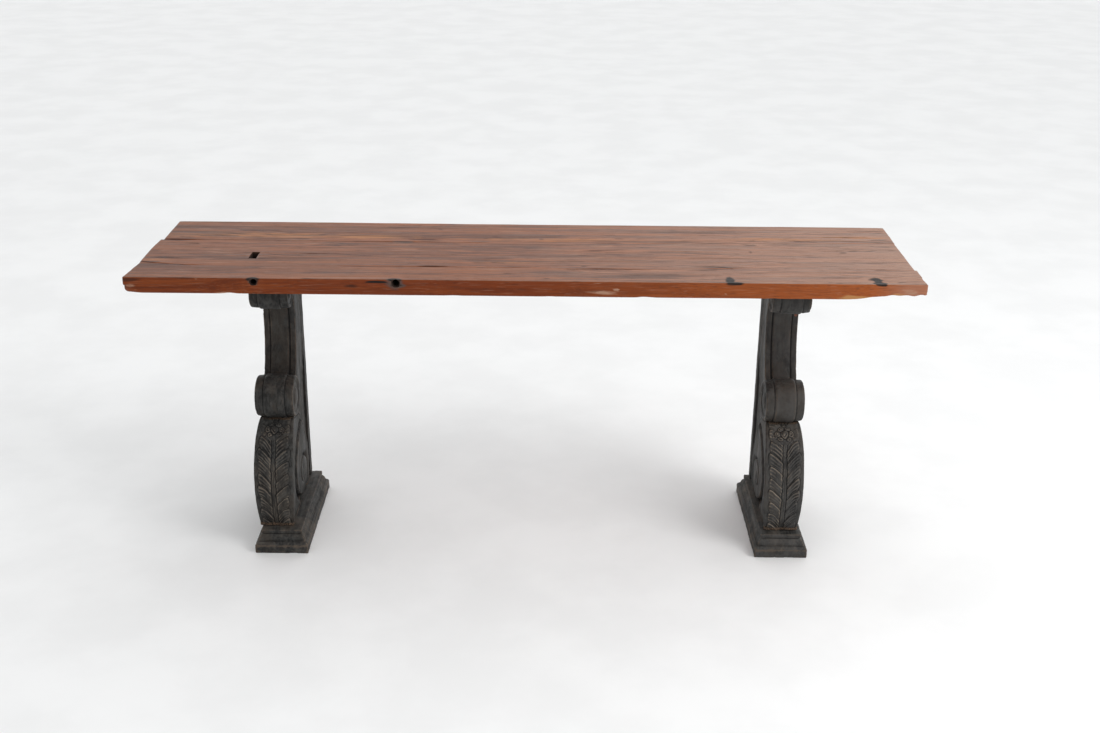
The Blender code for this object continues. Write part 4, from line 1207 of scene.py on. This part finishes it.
def leaf_rows(seed):
    """Closed cross loops of the leaf panel, from the plinth up to the roll."""
    path = smooth_path(BELLY, 44)
    steps = np.hypot(*np.diff(path, axis=0).T)
    along = np.concatenate(([0], np.cumsum(steps)))
    length = along[-1]
    tangent = np.gradient(path, along, axis=0)
    tangent /= np.hypot(*tangent.T)[:, None]
    outward = np.stack((-tangent[:, 1], tangent[:, 0]), 1)
    turn = np.linspace(-1, 1, 97)
    turn = np.sign(turn) * (1 - (1 - np.abs(turn)) ** 1.15)
    half = leaf_half_width(along / length)[:, None]
    u = turn[None] * half
    inner = np.clip((np.abs(u) - (half - LEAF_EDGE)) / LEAF_EDGE, 0, 1)
    ground = 5.6 * MM - 2.0 * MM * np.abs(turn[None]) ** 2.4
    ground = ground - LEAF_EDGE * (1 - np.sqrt(np.clip(1 - inner ** 2, 0, 1)))
    deep = np.broadcast_to(along[:, None], u.shape)
    relief = leaf_relief(deep, u, length, seed)
    settle = smoothstep(0.0, 0.012, deep) * smoothstep(length, length - 0.012, deep)
    height = ground + relief * settle - 2.0 * MM * smoothstep(length - 0.010, length, deep)
    crumble = noise(np.stack((u, deep, 0 * u), -1), (0.013, 0.02, 1), seed + 8)
    height = height + (4.6 + 1.6 * crumble) * MM * bump((deep - 3.5 * MM) / (8.0 * MM))
    face = path[:, None] + outward[:, None] * height[..., None]
    face = np.concatenate((u[..., None], face), -1)
    back = []
    for share, sink in ((0.99, -1.5), (0.88, -4.0), (0.0, -4.0), (-0.88, -4.0), (-0.99, -1.5)):
        spot = path + outward * sink * MM
        back.append(np.concatenate((share * half, spot), 1))
    loops = np.concatenate((face, np.stack(back, 1)), 1)
    loops[..., 2] = np.maximum(loops[..., 2], BELLY[0][1])
    return loops


PLINTH_HALF = (0.072, 0.200)
# The mouldings of the plinth, as (inset from its sides, height)
PLINTH_BASE = ((0.0004, 0.0005), (0.0, 0.004), (0.0, 0.0225), (0.0008, 0.0252), (0.0028, 0.0282),
               (0.0055, 0.0303), (0.0078, 0.0315), (0.0080, 0.0330))
PLINTH_CAP = ((0.0092, 0.0332), (0.0092, 0.0345), (0.0098, 0.0375), (0.0112, 0.0415), (0.0136, 0.0455),
              (0.0168, 0.0487), (0.0188, 0.0500), (0.0190, 0.0512), (0.0170, 0.0522), (0.0168, 0.0540),
              (0.0168, 0.0600), (0.0175, 0.0622), (0.0200, 0.0630))


def rounded_ring(half_x, half_y, radius, spacing):
    """Points round a rectangle with rounded corners, counter-clockwise."""
    ring = []
    for sx, sy, start in ((1, -1, -90), (1, 1, 0), (-1, 1, 90), (-1, -1, 180)):
        ring.append(arc((sx * (half_x - radius), sy * (half_y - radius)), radius, start, start + 90, 5))
    points = []
    for a, b in zip(ring, ring[1:] + ring[:1]):
        points.append(a[:-1])
        count = max(int(np.hypot(*(b[0] - a[-1])) / spacing), 1)
        points.append(a[-1] + (b[0] - a[-1]) * np.linspace(0, 1, count, endpoint=False)[:, None])
    return np.vstack(points)


def moulded_block(profile, steps):
    """A block whose four sides follow a moulding: (inset, height) from its foot up."""
    dense = []
    for (a, low), (b, high) in zip(profile, profile[1:]):
        dense += [(a + (b - a) * i / steps, low + (high - low) * i / steps) for i in range(steps)]
    dense.append(profile[-1])
    outer = rounded_ring(*PLINTH_HALF, 2.5 * MM, 4.0 * MM)
    loops = []
    for inset, z in dense:
        shrunk = outer * (1 - inset / np.array(PLINTH_HALF))
        loops.append(np.column_stack((shrunk, np.full(len(outer), z))))
    return lofted(np.array(loops))


def back_board_surface():
    low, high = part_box("right_back_board")
    size = np.array(high - low)
    shares = [spaced(length, step, 2 * MM) for length, step in zip(size, (5 * MM, 5 * MM, 6 * MM))]
    ijk, quads = lattice_box(*map(len, shares))
    share = np.stack([shares[i][ijk[:, i]] for i in range(3)], 1)
    co = np.array((-BODY_HALF, low.y, low.z)) + share * size
    inward = np.where(share < 0.5, 1, -1)
    co = co + inward * rounded(np.minimum(share, 1 - share) * size, np.full(len(co), 1.6 * MM))
    return co, quads


def ride_for(piece, slot, *nodes):
    """The piece rides on the table and stands for these CAD nodes. slot is not used."""
    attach(piece, "root")
    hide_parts(*nodes)


def painted_shade_in_scroll(obj, middle):
    """Darken the deep part of the volute's grooves with painted shade."""
    u = np.abs(coordinates(obj)[:, 0] - middle)
    sunk = smoothstep(2.5 * MM, 11 * MM, BODY_HALF - u) * smoothstep(0.020, 0.024, u)
    store(obj, "hollow", np.maximum(stored(obj, "hollow"), 0.9 * sunk))


def quiet_leaf(obj, middle, left_half, right_half):
    """Keep the leaf's border dark, and its halves rubbed by the given amounts."""
    u = coordinates(obj)[:, 0] - middle
    rubbed = right_half + (left_half - right_half) * smoothstep(0.012, -0.012, u)
    kept = smoothstep(0.0425, 0.0385, np.abs(u)) * rubbed + 0.08
    store(obj, "ridge", stored(obj, "ridge") * kept)


def store_rust(obj, heights, knot=None):
    """Store crumbling brown bands at the given heights, and a bare knot if there is one."""
    co = coordinates(obj)
    z = co[:, 2]
    patch = 0.5 + 0.5 * noise(co, (0.016, 0.03, 0.006), 51)
    level = np.zeros(len(co))
    for height, half, strength in heights:
        level = np.maximum(level, strength * bump((z - height) / half) * (0.35 + 0.9 * patch))
    store(obj, "rust", level)
    bare = np.zeros(len(co))
    if knot:
        bare = bump(np.linalg.norm((co - np.array(knot[0])) / np.array(knot[1]), axis=1))
    store(obj, "knot", bare)


SUPPORT_WEAR = ((0.55 * MM, 0.040), (0.24 * MM, 0.011))  # depth, cell of the noise


def make_supports():
    brown, dusty = (0.094, 0.073, 0.057), (0.125, 0.104, 0.083)
    carved = ebonised_wood("ebonised_carving", (160, 160, 22), brown, lift=1.20)
    leafy = ebonised_wood("ebonised_leaf", (220, 220, 60), dusty, lift=1.25, bare=0.20)
    straight = ebonised_wood("ebonised_board", (210, 210, 9), brown)
    lying = ebonised_wood("ebonised_plinth", (180, 16, 180), brown, lift=1.15, bare=0.04)
    # Surface, material, share of its faces kept, and the smoothing steps and full height of its relief
    shapes = {
        "lower_scroll": (lower_scroll_surface(), carved, 0.55, 9, 0.9 * MM),
        "mid_roll": (mid_roll_surface(), carved, 0.60, 9, 0.9 * MM),
        "upper_scroll": (neck_surface(), carved, 0.60, 9, 0.9 * MM),
        "top_roll": (top_roll_surface(), carved, 0.60, 9, 0.9 * MM),
        "web_panel": (web_surface(), straight, 0.50, 6, 1.2 * MM),
        "back_board": (back_board_surface(), straight, 1.0, 5, 0.8 * MM),
        "plinth_base": (moulded_block(PLINTH_BASE, 2), lying, 1.0, 6, 0.7 * MM),
        "plinth_cap": (moulded_block(PLINTH_CAP, 2), lying, 1.0, 6, 0.7 * MM),
        "leaf": (lofted(leaf_rows(3)), leafy, 1.0, 7, 0.55 * MM),
    }
    # Rust-brown bands: height, half height, strength
    rust = {
        "mid_roll": ((0.345, 0.005, 0.9),), "leaf": ((0.3470, 0.0040, 1.0), (0.067, 0.009, 1.3)),
        "lower_scroll": ((0.065, 0.007, 0.9),),
    }
    for side, outward, leaf_wear in (("left", -1, (0.70, 0.55)), ("right", 1, (1.05, 0.50))):
        for number, (name, ((verts, faces), material, share, steps, full)) in enumerate(shapes.items()):
            low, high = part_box(f"{side}_{name}")
            co = verts.copy()
            co[:, 0] = (low.x + high.x) / 2 + outward * co[:, 0]
            faces_now = faces if outward > 0 else [list(face)[::-1] for face in faces]
            piece = add_object(f"{side}_{name}_carved", co, faces_now, [material])
            seed = 400 + 40 * number + (17 if outward > 0 else 0)
            for i, (amount, cell) in enumerate(SUPPORT_WEAR):
                roughen(piece, amount, cell, seed + i)
            store_relief(piece, steps, full)
            # painted shade in the scroll's grooves
            if name == "lower_scroll":
                painted_shade_in_scroll(piece, (low.x + high.x) / 2)
            if name == "leaf":
                quiet_leaf(piece, (low.x + high.x) / 2, *leaf_wear)
            chip(piece, seed + 2)
            knot = None
            if piece.name.startswith("right_upper"):
                knot = ((high.x - 8 * MM, 0.056, 0.617), (8 * MM, 16 * MM, 11 * MM))
            store_rust(piece, rust.get(name, ()), knot)
            if share < 1:
                thinned(piece, share)
            ride_for(piece, "carved_wood", f"{side}_{name}")


def dress_hidden_pieces():
    """Give every CAD piece that stays its own finish."""
    softwood, bearer, steel = plain_wood(), dark_bearer_wood(), dark_steel()
    for name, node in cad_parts.items():
        if "screw" in name:
            finish = steel
        elif name.endswith("cleat"):
            finish = bearer
        elif "dowel" in name or "tongue" in name:
            finish = softwood
        else:
            continue
        node.data.materials.clear()
        node.data.materials.append(finish)


# ---------------------------------------------------------------- stage, lights, camera

def make_stage():
    s = Shader("pale_floor")
    scuff = s.noise((3, 3, 3), detail=5)
    colour = s.mix(s.span(scuff, 0.35, 0.65), (0.79, 0.79, 0.785), (0.83, 0.83, 0.825))
    s.finish(colour, 0.62, scuff, 0.02, 0.001, specular=0.25)
    reach = 40.0
    corners = [(-reach, -reach, 0), (reach, -reach, 0), (reach, reach, 0), (-reach, reach, 0)]
    floor = add_object("floor", corners, [(0, 1, 2, 3)], [s.material], smooth=False)


def add_area_light(name, place, aim, size, power, colour=(1, 1, 1)):
    light = bpy.data.lights.new(name, "AREA")
    light.shape = "RECTANGLE"
    light.size, light.size_y = size
    light.energy = power
    light.color = colour
    obj = bpy.data.objects.new(name, light)
    obj.location = place
    obj.rotation_euler = (Vector(aim) - Vector(place)).to_track_quat("-Z", "Y").to_euler()
    bpy.context.scene.collection.objects.link(obj)


SKY_SLOPE = (0.45, 0.80, 0.15)  # the direction in which the studio's walls get brighter
SKY_DIM, SKY_BRIGHT = 0.52, 1.42


def make_lights():
    """A white studio: bright behind and to the right, dimmer on the camera's side, with a soft key."""
    world = bpy.data.worlds.new("studio")
    world.use_nodes = True
    tree = world.node_tree
    background = tree.nodes["Background"]
    background.inputs["Color"].default_value = (0.98, 0.99, 1.0, 1.0)
    place = tree.nodes.new("ShaderNodeTexCoord")
    slope = tree.nodes.new("ShaderNodeVectorMath")
    slope.operation = "DOT_PRODUCT"
    slope.inputs[1].default_value = SKY_SLOPE
    strength = tree.nodes.new("ShaderNodeMapRange")
    for socket, value in zip(list(strength.inputs)[1:5], (-0.9, 0.9, SKY_DIM, SKY_BRIGHT)):
        socket.default_value = value
    tree.links.new(place.outputs["Generated"], slope.inputs[0])
    tree.links.new(slope.outputs["Value"], strength.inputs[0])
    tree.links.new(strength.outputs["Result"], background.inputs["Strength"])
    bpy.context.scene.world = world
    add_area_light("key", (3.4, -1.8, 3.4), (0.1, 0.0, 0.4), (2.0, 2.0), 85)


CAMERA_PLACE = (0.0519, -3.5351, 1.9165)
CAMERA_DOWN, CAMERA_TURN, CAMERA_ROLL = (math.radians(a) for a in (22.136, -0.195, 0.622))
CAMERA_LENS = 45.49


def make_camera():
    data = bpy.data.cameras.new("camera")
    data.lens = CAMERA_LENS
    data.sensor_width = 36
    data.clip_end = 200
    camera = bpy.data.objects.new("camera", data)
    turn = Matrix.Rotation(CAMERA_TURN, 4, "Z") @ Matrix.Rotation(math.pi / 2 - CAMERA_DOWN, 4, "X")
    camera.matrix_world = Matrix.Translation(CAMERA_PLACE) @ turn @ Matrix.Rotation(CAMERA_ROLL, 4, "Z")
    bpy.context.scene.collection.objects.link(camera)
    bpy.context.scene.camera = camera


make_camera()
make_boards()
make_supports()
dress_hidden_pieces()
make_stage()
make_lights()
bpy.context.scene.view_settings.view_transform = "Standard"
